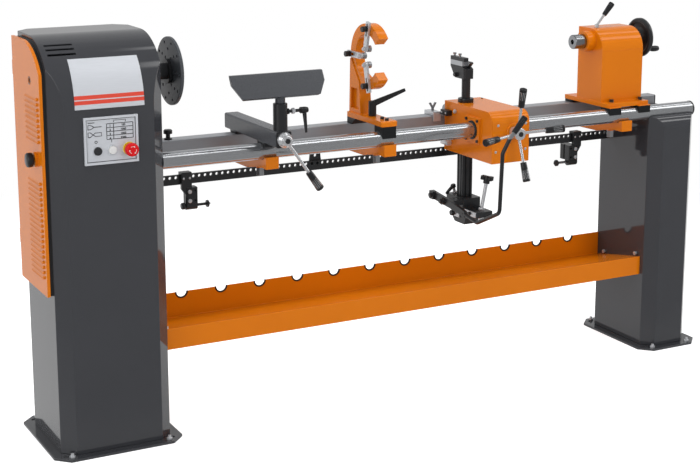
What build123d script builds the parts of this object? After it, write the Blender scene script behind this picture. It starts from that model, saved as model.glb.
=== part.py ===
"""Copying wood lathe: two sheet columns, a tube-and-rail bed and the sliding units that ride on it.

Millimetres, +X from headstock to tailstock, +Y to the back, +Z up. The origin is on the floor under the
middle of the headstock's floor plate. Every sub-part is one STEP file in parts/.
"""

import os
from math import acos, cos, degrees, radians, sin, sqrt, tan

from build123d import *

os.makedirs("parts", exist_ok=True)

# Columns and floor plates
head_w = 348.0
head_h = 1250.0
head_shoulder_r = 200.0
tail_w = 197.0
tail_h = 856.0
tail_shoulder_r = 45.0
column_d = 350.0
column_chamfer = 39.0
sheet = 4.0
plate_t = 8.0
plate_out = 30.0
plate_clip = 42.0
anchor_inset = 35.0
bed_gap = 1829.0

# Bed and turning axis
tube_r = 26.0
tube_y = -115.0
tube_z = 865.0
rail_w = 50.0
rail_h = 80.0
rail_y = 102.0
rail_top = 886.0
wall = 4.0
axis_y = -15.0
axis_z = 1120.0
run = 0.4

# Stations of the sliding units along the bed, as in the photograph
rest_x = 528.0
steady_x = 946.0
carriage_x0 = 1284.0
tailstock_x0 = 1823.0

# Edges worked out from the sizes above
head_x0 = -head_w / 2
head_x1 = head_w / 2
tail_x0 = head_x1 + bed_gap
tail_x1 = tail_x0 + tail_w
front_y = -column_d / 2
back_y = column_d / 2
tube_top = tube_z + tube_r
tube_bottom = tube_z - tube_r
rail_bottom = rail_top - rail_h
rail_front = rail_y - rail_w / 2
rail_back = rail_y + rail_w / 2
bed_mid_x = head_x1 + bed_gap / 2


def side(x):
    """Plane across the bed at x; its own axes are Y and Z."""
    return Plane.YZ.offset(x)


def front(y):
    """Plane facing the operator at y; its own axes are X and Z."""
    return Plane(origin=(0, y, 0), x_dir=(1, 0, 0), z_dir=(0, -1, 0))


def turning(y, z):
    """Plane through a lengthwise axis, for half profiles of turned pieces."""
    return Plane(origin=(0, y, z), x_dir=(1, 0, 0), z_dir=(0, -1, 0))


def column_block(x0, width, height, shoulder_r, inset):
    """Column outline with a curved front shoulder and chamfered corners, shrunk by inset for its hollow."""
    y0 = front_y + inset
    y1 = back_y - inset
    top = height - inset
    r = shoulder_r - inset
    with BuildPart() as block:
        with BuildSketch(side(x0 + inset)):
            with BuildLine():
                Line((y0, plate_t), (y0, top - r))
                CenterArc((y0 + r, top - r), r, 90, 90)
                Polyline((y0 + r, top), (y1, top), (y1, plate_t), (y0, plate_t))
            make_face()
        extrude(amount=width - 2 * inset)
        with BuildSketch(Plane.XY.offset(plate_t)) as plan:
            with Locations((x0 + width / 2, 0)):
                Rectangle(width - 2 * inset, column_d - 2 * inset)
            chamfer(plan.vertices(), length=column_chamfer - inset * (2 - sqrt(2)))
        extrude(amount=height, mode=Mode.INTERSECT)
    return block.part


def floor_plate(x_mid, width):
    """Floor plate with clipped corners and a bolt hole in each."""
    with BuildPart() as plate:
        with BuildSketch() as outline:
            with Locations((x_mid, 0)):
                Rectangle(width + 2 * plate_out, column_d + 2 * plate_out)
            chamfer(outline.vertices(), length=plate_clip)
            with Locations((x_mid, 0)):
                with GridLocations(width + 2 * plate_out - 2 * anchor_inset, anchor_dy, 2, 2):
                    Circle(anchor_hole_r, mode=Mode.SUBTRACT)
        extrude(amount=plate_t)
    return plate.part


anchor_hole_r = 7.0
anchor_dy = column_d + 2 * plate_out - 2 * anchor_inset

# Headstock cabinet: hollow column with belt opening, spindle hole, bearing cartridge, vents and door seal
door_y0 = -134.0
door_y1 = 134.0
door_z0 = 495.0
door_gap = 12.0
seal_t = 10.0
cartridge_r = 46.0
shaft_r = 20.0
panel_x = 1.0
panel_z = 956.0
panel_w = 164.0
panel_h = 140.0
button_z = 926.0
button_xs = (-41.0, 4.0, 55.0)
button_hole_r = 12.5
shoulder_y = front_y + head_shoulder_r
shoulder_z = head_h - head_shoulder_r


def door_outline(inset):
    """Face of the belt door, its front top corner running beside the cabinet's shoulder."""
    r = head_shoulder_r - door_gap - inset
    y0 = door_y0 + inset
    y1 = door_y1 - inset
    z0 = door_z0 + inset
    turn = degrees(acos((y0 - shoulder_y) / r)) - 90
    z_side = shoulder_z + sqrt(r * r - (shoulder_y - y0) ** 2)
    with BuildSketch() as outline:
        with BuildLine():
            CenterArc((shoulder_y, shoulder_z), r, 90, turn)
            Polyline((y0, z_side), (y0, z0), (y1, z0), (y1, shoulder_z + r), (shoulder_y, shoulder_z + r))
        make_face()
    return outline.sketch


with BuildPart() as headstock_cabinet:
    add(column_block(head_x0, head_w, head_h, head_shoulder_r, 0))
    add(column_block(head_x0, head_w, head_h, head_shoulder_r, sheet), mode=Mode.SUBTRACT)
    with BuildSketch(side(head_x0)) as belt_opening:
        with Locations((0, 850)):
            Rectangle(216, 560)
        fillet(belt_opening.vertices(), radius=20)
    extrude(amount=sheet, mode=Mode.SUBTRACT)
    with BuildSketch(side(head_x0)):
        add(door_outline(2))
        with Locations((0, 850)):
            Rectangle(216, 560, mode=Mode.SUBTRACT)
    extrude(amount=-seal_t)
    with BuildSketch(side(head_x1)):
        with Locations((axis_y, axis_z)):
            Circle(cartridge_r)
    extrude(amount=-sheet, mode=Mode.SUBTRACT)
    with BuildSketch(turning(axis_y, axis_z)):
        Polygon(
            (40, shaft_r + run),
            (40, cartridge_r - 4),
            (head_x1 - 20, cartridge_r - 4),
            (head_x1 - 20, 70),
            (head_x1 - sheet, 70),
            (head_x1 - sheet, cartridge_r),
            (head_x1, cartridge_r),
            (head_x1, shaft_r + run),
            align=None,
        )
    revolve(axis=Axis((0, axis_y, axis_z), (1, 0, 0)))
    vent_angles = (50, 56, 62)
    for angle in vent_angles:
        vent_y = shoulder_y - head_shoulder_r * cos(radians(angle))
        vent_z = shoulder_z + head_shoulder_r * sin(radians(angle))
        with Locations(Location((-114, vent_y, vent_z), (-angle, 0, 0))):
            Box(84, 24, 7, mode=Mode.SUBTRACT)
    with BuildSketch(front(front_y)):
        with Locations(*[(x, button_z) for x in button_xs]):
            Circle(button_hole_r)
    extrude(amount=-sheet, mode=Mode.SUBTRACT)
headstock_cabinet.part.label = "headstock_cabinet"
export_step(headstock_cabinet.part, "parts/headstock_cabinet.step")

# Floor plates with open bolt holes, and the levelling screws with lock nuts beside the holes
with BuildPart() as headstock_base:
    add(floor_plate(0, head_w))
headstock_base.part.label = "headstock_base"
export_step(headstock_base.part, "parts/headstock_base.step")

with BuildPart() as tail_base:
    add(floor_plate((tail_x0 + tail_x1) / 2, tail_w))
tail_base.part.label = "tail_base"
export_step(tail_base.part, "parts/tail_base.step")

level_shift = 15.0
with BuildPart() as levelling_screws:
    for x_mid, width in ((0, head_w), ((tail_x0 + tail_x1) / 2, tail_w)):
        level_dx = width + 2 * plate_out - 2 * anchor_inset - 2 * level_shift
        with BuildSketch(Plane.XY.offset(plate_t)):
            with Locations((x_mid, 0)):
                with GridLocations(level_dx, anchor_dy + 2 * level_shift, 2, 2):
                    RegularPolygon(9.5, 6)
        extrude(amount=6)
        with BuildSketch(Plane.XY.offset(plate_t + 6)):
            with Locations((x_mid, 0)):
                with GridLocations(level_dx, anchor_dy + 2 * level_shift, 2, 2):
                    Circle(5)
        extrude(amount=7)
levelling_screws.part.label = "levelling_screws"
export_step(levelling_screws.part, "parts/levelling_screws.step")

# Belt door: a shallow pressed tray with louvre slots, hinge barrels at the back and a boss for its knob
door_t = 10.0
door_skin = 2.0
door_out_x = head_x0 - seal_t - door_t
knob_y = -80.0
knob_z = 899.0
hinge_x = head_x0 - 8.0
hinge_y = 143.0
louvre_y = -52.0
louvre_len = 117.0
louvre_step = 15.6
louvre_rows = ((1074.0, 9), (826.0, 19))
louvre_zs = [top - louvre_step * i for top, count in louvre_rows for i in range(count)]
hood_out = 5.0
hood_h = 10.0
hood_wall = 1.7
with BuildPart() as belt_door:
    with BuildSketch(side(door_out_x)):
        add(door_outline(0))
    extrude(amount=door_t - 0.5)
    with BuildSketch(side(door_out_x + door_skin)):
        add(door_outline(3))
    extrude(amount=door_t, mode=Mode.SUBTRACT)
    with BuildSketch(front(louvre_y - louvre_len / 2)):
        for z in louvre_zs:
            Polygon(
                (door_out_x + 0.2, z),
                (door_out_x - hood_out, z),
                (door_out_x - hood_out, z + 1),
                (door_out_x + 0.2, z + hood_h),
                align=None,
            )
    extrude(amount=-louvre_len)
    with BuildSketch(front(louvre_y - louvre_len / 2 + hood_wall)):
        for z in louvre_zs:
            Polygon(
                (door_out_x + 2 * door_skin, z - 0.5),
                (door_out_x - hood_out + hood_wall, z - 0.5),
                (door_out_x + door_skin, z + hood_h),
                (door_out_x + 2 * door_skin, z + hood_h),
                align=None,
            )
    extrude(amount=-(louvre_len - 2 * hood_wall), mode=Mode.SUBTRACT)
    with BuildSketch(side(door_out_x)):
        with Locations((-40, 1125)):
            Circle(7)
    extrude(amount=door_skin, mode=Mode.SUBTRACT)
    with BuildSketch(side(door_out_x)):
        with Locations((knob_y, knob_z)):
            Circle(22)
            Circle(6.4, mode=Mode.SUBTRACT)
    extrude(amount=-9)
    with BuildSketch(side(door_out_x)):
        with Locations((knob_y, knob_z)):
            Circle(6.4)
    extrude(amount=door_skin, mode=Mode.SUBTRACT)
    for z in (600, 1120):
        with BuildSketch(Plane.XY.offset(z)):
            with Locations((hinge_x, hinge_y)):
                Circle(6)
            with Locations(((door_out_x + hinge_x) / 2, (door_y1 + hinge_y) / 2 - 1)):
                Rectangle(10, 10)
        extrude(amount=44)
belt_door.part.label = "belt_door"
export_step(belt_door.part, "parts/belt_door.step")

knob_x0 = door_out_x - 9.0
with BuildPart() as door_knob:
    with BuildSketch(turning(knob_y, knob_z)):
        Polygon(
            (knob_x0 + 15, 0),
            (knob_x0 + 15, 6),
            (knob_x0 - 4, 6),
            (knob_x0 - 4, 20),
            (knob_x0 - 8, 21.5),
            (knob_x0 - 22, 21.5),
            (knob_x0 - 22, 0),
            align=None,
        )
    revolve(axis=Axis((0, knob_y, knob_z), (1, 0, 0)))
    fillet(door_knob.faces().sort_by(Axis.X)[0].edges(), radius=6)
door_knob.part.label = "door_knob"
export_step(door_knob.part, "parts/door_knob.step")

# Name plate: a blank sheet bent round the shoulder
plate_x0 = -104.0
plate_w = 210.0
plate_turn = 44.0
badge_t = 2.0
with BuildPart() as name_plate:
    with BuildSketch(side(plate_x0)):
        with Locations((shoulder_y, shoulder_z)):
            Circle(head_shoulder_r + badge_t)
            Circle(head_shoulder_r, mode=Mode.SUBTRACT)
        reach = 2 * head_shoulder_r
        Polygon(
            (shoulder_y, shoulder_z),
            (shoulder_y - reach, shoulder_z),
            (shoulder_y - reach, shoulder_z + reach * tan(radians(plate_turn))),
            align=None,
            mode=Mode.INTERSECT,
        )
    extrude(amount=plate_w)
name_plate.part.label = "name_plate"
export_step(name_plate.part, "parts/name_plate.step")

# Control panel with its raised frame and the collar of the emergency stop, and the three buttons
panel_t = 3.0
frame_w = 7.0
with BuildPart() as control_panel:
    with BuildSketch(front(front_y)):
        with Locations((panel_x, panel_z)):
            Rectangle(panel_w, panel_h)
        with Locations(*[(x, button_z) for x in button_xs]):
            Circle(button_hole_r, mode=Mode.SUBTRACT)
    extrude(amount=panel_t)
    with BuildSketch(front(front_y - panel_t)):
        with Locations((panel_x, panel_z)):
            Rectangle(panel_w, panel_h)
            Rectangle(panel_w - 2 * frame_w, panel_h - 2 * frame_w, mode=Mode.SUBTRACT)
    extrude(amount=3.5)
    with BuildSketch(front(front_y - panel_t)):
        with Locations((button_xs[2], button_z)):
            Circle(19.5)
            Circle(button_hole_r, mode=Mode.SUBTRACT)
    extrude(amount=5)
    with BuildSketch(front(front_y - panel_t)):
        with Locations((button_xs[0], button_z), (button_xs[1], button_z)):
            Circle(15)
            Circle(button_hole_r, mode=Mode.SUBTRACT)
    extrude(amount=3)
control_panel.part.label = "control_panel"
export_step(control_panel.part, "parts/control_panel.step")

panel_face = front_y - panel_t
button_stem_r = 12.0
with BuildPart() as stop_button:
    with BuildSketch(front(front_y + sheet + 4)):
        with Locations((button_xs[0], button_z)):
            Circle(button_stem_r)
    extrude(amount=sheet + 4 + panel_t + 8)
    fillet(stop_button.faces().sort_by(Axis.Y)[0].edges(), radius=2)
stop_button.part.label = "stop_button"
export_step(stop_button.part, "parts/stop_button.step")

with BuildPart() as start_button:
    with BuildSketch(front(front_y + sheet + 4)):
        with Locations((button_xs[1], button_z)):
            Circle(button_stem_r)
    extrude(amount=sheet + 4 + panel_t + 5)
    fillet(start_button.faces().sort_by(Axis.Y)[0].edges(), radius=1)
start_button.part.label = "start_button"
export_step(start_button.part, "parts/start_button.step")

with BuildPart() as emergency_stop:
    stem = sheet + 4 + panel_t
    with BuildSketch(Plane(origin=(button_xs[2], front_y, button_z), x_dir=(1, 0, 0), z_dir=(0, 0, 1))):
        Polygon(
            (0, stem - panel_t),
            (12, stem - panel_t),
            (12, -panel_t - 14),
            (20, -panel_t - 16),
            (20, -panel_t - 33),
            (0, -panel_t - 33),
            align=None,
        )
    revolve(axis=Axis((button_xs[2], front_y, button_z), (0, 1, 0)))
    fillet(emergency_stop.faces().sort_by(Axis.Y)[0].edges(), radius=7)
emergency_stop.part.label = "emergency_stop"
export_step(emergency_stop.part, "parts/emergency_stop.step")

# Spindle with its four-step pulley and hub, faceplate, motor, motor pulley and belt
pulley_x0 = -132.0
step_w = 16.0
spindle_steps = (40.0, 50.0, 60.0, 70.0)
motor_steps = (70.0, 60.0, 50.0, 40.0)
hub_r = 25.0
faceplate_x = 244.0
faceplate_r = 105.0
faceplate_t = 11.0
nose_r = 16.0
motor_y = 0.0
motor_z = 720.0


def pulley_steps(radii):
    """Stepped outline of a cone pulley, from its outer end inwards."""
    points = []
    for i, r in enumerate(radii):
        points += [(pulley_x0 + i * step_w, r), (pulley_x0 + (i + 1) * step_w, r)]
    return points


pulley_x1 = pulley_x0 + 4 * step_w
with BuildPart() as spindle:
    with BuildSketch(turning(axis_y, axis_z)):
        Polygon(
            (-150, 0),
            (-150, 15),
            (pulley_x0, 15),
            *pulley_steps(spindle_steps),
            (pulley_x1, shaft_r),
            (head_x1 + 1, shaft_r),
            (head_x1 + 1, hub_r),
            (faceplate_x - 10, hub_r),
            (faceplate_x - 10, 38),
            (faceplate_x, 38),
            (faceplate_x, nose_r),
            (faceplate_x + 18, nose_r - 1),
            (faceplate_x + 20, 0),
            align=None,
        )
    revolve(axis=Axis((0, axis_y, axis_z), (1, 0, 0)))
spindle.part.label = "spindle"
export_step(spindle.part, "parts/spindle.step")

with BuildPart() as faceplate:
    with BuildSketch(side(faceplate_x)):
        with Locations((axis_y, axis_z)):
            Circle(faceplate_r)
            Circle(nose_r + 0.2, mode=Mode.SUBTRACT)
            for ring_r, count in ((46, 6), (68, 8), (90, 10)):
                with PolarLocations(ring_r, count):
                    Circle(4.5, mode=Mode.SUBTRACT)
    extrude(amount=faceplate_t)
    chamfer(faceplate.edges().filter_by(GeomType.CIRCLE).sort_by(SortBy.RADIUS)[-2:], length=1.5)
faceplate.part.label = "faceplate"
export_step(faceplate.part, "parts/faceplate.step")

rotor_r = 12.0
with BuildPart() as drive_motor:
    with BuildSketch(turning(motor_y, motor_z)):
        Polygon(
            (-62, rotor_r + run),
            (-62, 45),
            (-52, 78),
            (-40, 90),
            (110, 90),
            (118, 84),
            (138, 80),
            (142, 70),
            (142, 0),
            (-40, 0),
            (-40, rotor_r + run),
            align=None,
        )
    revolve(axis=Axis((0, motor_y, motor_z), (1, 0, 0)))
    with BuildSketch(side(-20)):
        Polygon(
            (-70, 618),
            (-70, 630),
            (-40, 645),
            (40, 645),
            (70, 630),
            (back_y - sheet, 630),
            (back_y - sheet, 618),
            align=None,
        )
    extrude(amount=110)
drive_motor.part.label = "drive_motor"
export_step(drive_motor.part, "parts/drive_motor.step")

with BuildPart() as motor_pulley:
    with BuildSketch(turning(motor_y, motor_z)):
        Polygon(
            (-146, 0),
            (-146, rotor_r),
            (pulley_x0, rotor_r),
            *pulley_steps(motor_steps),
            (pulley_x1, rotor_r),
            (-41, rotor_r),
            (-41, 0),
            align=None,
        )
    revolve(axis=Axis((0, motor_y, motor_z), (1, 0, 0)))
motor_pulley.part.label = "motor_pulley"
export_step(motor_pulley.part, "parts/motor_pulley.step")

belt_x = pulley_x0 + 2 * step_w + 2
belt_w = 12.0
belt_t = 8.0
with BuildSketch(side(belt_x)) as belt_inside:
    with Locations((axis_y, axis_z)):
        Circle(spindle_steps[2] + run)
    with Locations((motor_y, motor_z)):
        Circle(motor_steps[2] + run)
    make_hull()
with BuildPart() as drive_belt:
    with BuildSketch(side(belt_x)):
        with Locations((axis_y, axis_z)):
            Circle(spindle_steps[2] + run + belt_t)
        with Locations((motor_y, motor_z)):
            Circle(motor_steps[2] + run + belt_t)
        make_hull()
        add(belt_inside.sketch_local, mode=Mode.SUBTRACT)
    extrude(amount=belt_w)
drive_belt.part.label = "drive_belt"
export_step(drive_belt.part, "parts/drive_belt.step")

# Tail column with the seats that the two bed members run through
with BuildPart() as tail_column:
    add(column_block(tail_x0, tail_w, tail_h, tail_shoulder_r, 0))
    add(column_block(tail_x0, tail_w, tail_h, tail_shoulder_r, sheet), mode=Mode.SUBTRACT)
    with BuildSketch(side(tail_x0)):
        with Locations((tube_y, tube_z)):
            Circle(tube_r)
        with Locations((rail_y, rail_top - rail_h / 2)):
            Rectangle(rail_w, rail_h)
    extrude(amount=tail_w, mode=Mode.SUBTRACT)
tail_column.part.label = "tail_column"
export_step(tail_column.part, "parts/tail_column.step")

# Bed: round front tube, rectangular rear rail, the plugs in their ends and the rail's stop post
with BuildPart() as front_bed_tube:
    with BuildSketch(side(head_x1)):
        with Locations((tube_y, tube_z)):
            Circle(tube_r)
            Circle(tube_r - wall, mode=Mode.SUBTRACT)
    extrude(amount=bed_gap + tail_w)
front_bed_tube.part.label = "front_bed_tube"
export_step(front_bed_tube.part, "parts/front_bed_tube.step")

with BuildPart() as rear_bed_rail:
    with BuildSketch(side(head_x1)) as rail_section:
        with Locations((rail_y, rail_top - rail_h / 2)):
            Rectangle(rail_w, rail_h)
        fillet(rail_section.vertices(), radius=4)
        with Locations((rail_y, rail_top - rail_h / 2)):
            Rectangle(rail_w - 2 * wall, rail_h - 2 * wall, mode=Mode.SUBTRACT)
    extrude(amount=bed_gap + tail_w)
rear_bed_rail.part.label = "rear_bed_rail"
export_step(rear_bed_rail.part, "parts/rear_bed_rail.step")

stop_post_x = head_x1 + 105
with BuildPart() as rail_fittings:
    with BuildSketch(turning(tube_y, tube_z)):
        Polygon(
            (tail_x1 - 14, 0),
            (tail_x1 - 14, tube_r - wall),
            (tail_x1, tube_r - wall),
            (tail_x1, tube_r + 1),
            (tail_x1 + 5, tube_r + 1),
            (tail_x1 + 8, tube_r - 3),
            (tail_x1 + 8, 0),
            align=None,
        )
    revolve(axis=Axis((0, tube_y, tube_z), (1, 0, 0)))
    with BuildSketch(side(tail_x1)):
        with Locations((rail_y, rail_top - rail_h / 2)):
            Rectangle(rail_w - 2 * wall, rail_h - 2 * wall)
    extrude(amount=-14)
    with BuildSketch(side(tail_x1)) as plug_rim:
        with Locations((rail_y, rail_top - rail_h / 2)):
            Rectangle(rail_w, rail_h)
        fillet(plug_rim.vertices(), radius=4)
    extrude(amount=4)
    with BuildSketch(Plane(origin=(stop_post_x, rail_y - 8, rail_top), x_dir=(1, 0, 0), z_dir=(0, -1, 0))):
        Polygon((0, 0), (13, 0), (13, 4), (7, 6), (7, 17), (14, 19), (14, 29), (11, 32), (0, 32), align=None)
    revolve(axis=Axis((stop_post_x, rail_y - 8, rail_top), (0, 0, 1)))
rail_fittings.part.label = "rail_fittings"
export_step(rail_fittings.part, "parts/rail_fittings.step")

# Tray: folded sheet with a front lip, a floor sloping to the back and a notched back wall
lip_y = -119.0
lip_top = 337.0
lip_bottom = 270.0
tray_back_y = 131.0
floor_back_z = 289.0
tray_top = 372.0
fold = 3.0
notch_r = 21.0
notch_x0 = 326.5
notch_step = 139.65
notch_count = 12
notch_xs = [notch_x0 + notch_step * i for i in range(notch_count)]
with BuildPart() as tool_tray:
    with BuildSketch(side(head_x1)):
        Polygon(
            (lip_y, lip_bottom),
            (lip_y, lip_top),
            (tray_back_y, floor_back_z),
            (tray_back_y, tray_top),
            (tray_back_y + fold, tray_top),
            (tray_back_y + fold, floor_back_z - 3.5),
            (lip_y + fold, lip_top - 3.8),
            (lip_y + fold, lip_bottom + fold),
            (lip_y + 14, lip_bottom + fold),
            (lip_y + 14, lip_bottom),
            align=None,
        )
    extrude(amount=bed_gap)
    with BuildSketch(front(tray_back_y - 1)):
        with Locations(*[(x, tray_top) for x in notch_xs]):
            Circle(notch_r)
    extrude(amount=-(fold + 2), mode=Mode.SUBTRACT)
tool_tray.part.label = "tool_tray"
export_step(tool_tray.part, "parts/tool_tray.step")

trim_t = 3.0
with BuildPart() as notch_trims:
    with BuildSketch(front(tray_back_y - 2)):
        with Locations(*[(x, tray_top) for x in notch_xs]):
            Circle(notch_r)
        with Locations(*[(x, tray_top) for x in notch_xs]):
            Circle(notch_r - trim_t, mode=Mode.SUBTRACT)
        with Locations((bed_mid_x, tray_top + notch_r)):
            Rectangle(bed_gap, 2 * notch_r, mode=Mode.SUBTRACT)
    extrude(amount=-(fold + 4))
notch_trims.part.label = "notch_trims"
export_step(notch_trims.part, "parts/notch_trims.step")

# Pattern holder: perforated bar under the rear rail with its hanger, and the two brackets that hook over it
bar_y = 83.0
bar_t = 8.0
bar_bottom = 739.0
bar_h = 32.0
bar_top = bar_bottom + bar_h
bar_pitch = 20.0
bar_holes = 90
bar_hole_z = bar_bottom + 23.0
hanger_x = 795.0
with BuildPart() as template_bar:
    with BuildSketch(front(bar_y)):
        with Locations((bed_mid_x, bar_bottom + bar_h / 2)):
            Rectangle(bed_gap, bar_h)
        with Locations((bed_mid_x, bar_hole_z)):
            with GridLocations(bar_pitch, 1, bar_holes, 1):
                RegularPolygon(5.2, 8, mode=Mode.SUBTRACT)
    extrude(amount=-bar_t)
    with BuildSketch(front(bar_y + bar_t)):
        Polygon(
            (hanger_x - 17, rail_bottom),
            (hanger_x + 17, rail_bottom),
            (hanger_x + 24, bar_bottom + 8),
            (hanger_x - 24, bar_bottom + 8),
            align=None,
        )
        with Locations((hanger_x, bar_top + 16)):
            Circle(5, mode=Mode.SUBTRACT)
    extrude(amount=-6)
template_bar.part.label = "template_bar"
export_step(template_bar.part, "parts/template_bar.step")

bracket_w = 35.0
block_w = 38.0
block_shift = 17.0
block_z0 = 674.0
block_z1 = 729.0
hook_y0 = bar_y - 13.0
hook_z0 = 703.0
hook_top = bar_top + 8.0
centre_y = 82.0
centre_z = 668.0
left_bracket_x = 312.0
right_bracket_x = 1830.0
left_tip_x = 415.0
right_tip_x = 1755.0
centre_r = 4.5
centre_boss_r = 13.0


def pattern_bracket(x0, inward, depth, bore_r):
    """Hook over the perforated bar with a block below it, set inward, and a bored boss under the block."""
    block_x = x0 + bracket_w / 2 + inward * block_shift
    outer_x = x0 + bracket_w / 2 - inward * bracket_w / 2
    with BuildPart() as bracket:
        with BuildSketch(side(x0)):
            Polygon(
                (hook_y0, hook_z0),
                (hook_y0, hook_top),
                (bar_y + bar_t + 7, hook_top),
                (bar_y + bar_t + 7, bar_bottom + 4),
                (bar_y + bar_t + 1, bar_bottom + 4),
                (bar_y + bar_t + 1, bar_top + 1),
                (bar_y - 1, bar_top + 1),
                (bar_y - 1, hook_z0),
                align=None,
            )
        extrude(amount=bracket_w)
        with BuildSketch(front(hook_y0)):
            Polygon((outer_x, 726), (outer_x, hook_z0), (outer_x + inward * 16, hook_z0), align=None)
        extrude(amount=-(bar_y - hook_y0), mode=Mode.SUBTRACT)
        with BuildSketch(Plane.XY.offset(block_z0)) as block_plan:
            with Locations((block_x, hook_y0 - 2 + depth / 2)):
                Rectangle(block_w, depth)
            fillet(block_plan.vertices(), radius=3)
            with Locations((block_x, hook_y0 - 2 + depth - 26)):
                with GridLocations(block_w, 1, 2, 1):
                    Rectangle(10, 6, mode=Mode.SUBTRACT)
        extrude(amount=block_z1 - block_z0)
        with BuildSketch(front(hook_y0 - 2)):
            with Locations((block_x + inward * 11, block_z1 - 11), (block_x + inward * 11, block_z0 + 12)):
                Circle(3.5)
        extrude(amount=-12, mode=Mode.SUBTRACT)
        with BuildSketch(side(block_x - block_w / 2)):
            with Locations((centre_y, centre_z)):
                Circle(centre_boss_r)
        extrude(amount=block_w)
        with BuildSketch(side(block_x - block_w / 2)):
            with Locations((centre_y, centre_z)):
                Circle(bore_r)
        extrude(amount=block_w, mode=Mode.SUBTRACT)
    return bracket.part


with BuildPart() as left_pattern_bracket:
    add(pattern_bracket(left_bracket_x, 1, 31, centre_r))
    left_boss_x = left_bracket_x + bracket_w / 2 + block_shift - block_w / 2
    with BuildSketch(turning(centre_y, centre_z)):
        Polygon(
            (left_boss_x - 14, 0),
            (left_boss_x - 14, 9),
            (left_boss_x - 11, 11),
            (left_boss_x - 3, 11),
            (left_boss_x - 3, centre_r),
            (left_tip_x - 15, centre_r),
            (left_tip_x - 15, 11.5),
            (left_tip_x - 9, 11.5),
            (left_tip_x - 7, 6),
            (left_tip_x, 0),
            align=None,
        )
    revolve(axis=Axis((0, centre_y, centre_z), (1, 0, 0)))
left_pattern_bracket.part.label = "left_pattern_bracket"
export_step(left_pattern_bracket.part, "parts/left_pattern_bracket.step")

with BuildPart() as right_pattern_bracket:
    add(pattern_bracket(right_bracket_x, -1, 58, centre_r + run))
right_pattern_bracket.part.label = "right_pattern_bracket"
export_step(right_pattern_bracket.part, "parts/right_pattern_bracket.step")

with BuildPart() as pattern_centre:
    rod_end = right_bracket_x + bracket_w / 2 - block_shift + block_w / 2 + 6
    with BuildSketch(turning(centre_y, centre_z)):
        Polygon(
            (right_tip_x, 0),
            (right_tip_x, 3),
            (right_tip_x + 7, 11.5),
            (right_tip_x + 14, 11.5),
            (right_tip_x + 16, centre_r),
            (rod_end - 1, centre_r),
            (rod_end, centre_r - 1),
            (rod_end, 0),
            align=None,
        )
    revolve(axis=Axis((0, centre_y, centre_z), (1, 0, 0)))
pattern_centre.part.label = "pattern_centre"
export_step(pattern_centre.part, "parts/pattern_centre.step")


# Clamp bars: each sliding unit has one under the bed, drawn up by a bolt between tube and rail
clamp_bolt_y = -55.0


def clamp_bar(x0, width, bolt_top):
    """Cross bar under tube and rail, hollowed to the tube, with its draw bolt and nut."""
    x_mid = x0 + width / 2
    with BuildPart() as bar:
        with BuildSketch(side(x0)):
            Polygon(
                (tube_y - 34, tube_bottom + 9),
                (tube_y + 34, tube_bottom + 9),
                (rail_front - 30, rail_bottom - run),
                (rail_back, rail_bottom - run),
                (rail_back, rail_bottom - 16),
                (0, rail_bottom - 14),
                (tube_y + 20, tube_bottom - 28),
                (tube_y - 34, tube_bottom - 28),
                align=None,
            )
            with Locations((tube_y, tube_z)):
                Circle(tube_r + run, mode=Mode.SUBTRACT)
        extrude(amount=width)
        with BuildSketch(Plane.XY.offset(rail_bottom)):
            with Locations((x_mid, clamp_bolt_y)):
                Circle(8)
        extrude(amount=bolt_top - rail_bottom)
        with BuildSketch(Plane.XY.offset(rail_bottom - 30)):
            with Locations((x_mid, clamp_bolt_y)):
                RegularPolygon(13, 6)
        extrude(amount=34)
    return bar.part


def tube_saddle(x0, width, top, grip):
    """Saddle that reaches down the tube by grip, closed at the top by the unit that it carries."""
    with BuildPart() as saddle:
        with BuildSketch(side(x0)):
            with Locations((tube_y, (tube_top - grip + top) / 2)):
                Rectangle(2 * tube_r + 2, top - tube_top + grip)
            with Locations((tube_y, tube_z)):
                Circle(tube_r + run, mode=Mode.SUBTRACT)
        extrude(amount=width)
    return saddle.part


def rail_pad(x0, width, top):
    """Pad on the rail under a sliding unit."""
    with BuildPart() as pad:
        with BuildSketch(side(x0)):
            with Locations((rail_y, (rail_top + run + top) / 2)):
                Rectangle(rail_w - 8, top - rail_top - run)
        extrude(amount=width)
    return pad.part


# Tool rest: square tube across the bed with a sleeve, post, blade, cam lever and locking lever
banjo_s = 50.0
banjo_y0 = -235.0
banjo_y1 = 165.0
banjo_z0 = tube_top + 2.0
banjo_z1 = banjo_z0 + banjo_s
banjo_zm = (banjo_z0 + banjo_z1) / 2
sleeve_y = -208.0
sleeve_r = 22.0
sleeve_top = 1027.0
rest_post_r = 12.0
with BuildPart() as banjo:
    with BuildSketch(front(banjo_y0)) as tube_section:
        with Locations((rest_x, banjo_zm)):
            Rectangle(banjo_s, banjo_s)
        fillet(tube_section.vertices(), radius=6)
    extrude(amount=-(banjo_y1 - banjo_y0))
    with BuildSketch(front(banjo_y0 + 6)):
        with Locations((rest_x, banjo_zm)):
            Rectangle(banjo_s - 10, banjo_s - 10)
    extrude(amount=-(banjo_y1 - banjo_y0), mode=Mode.SUBTRACT)
    add(tube_saddle(rest_x - 24, 48, banjo_z0 + 3, 6))
    add(rail_pad(rest_x - 24, 48, banjo_z0 + 3))
    with BuildSketch(Plane.XY.offset(banjo_z1 - 2)):
        with Locations((rest_x, sleeve_y)):
            Circle(sleeve_r)
    extrude(amount=sleeve_top - banjo_z1 + 2)
    with BuildSketch(Plane.XY.offset(banjo_z1 + 4)):
        with Locations((rest_x, sleeve_y)):
            Circle(rest_post_r + run)
    extrude(amount=sleeve_top, mode=Mode.SUBTRACT)
banjo.part.label = "banjo"
export_step(banjo.part, "parts/banjo.step")

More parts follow.
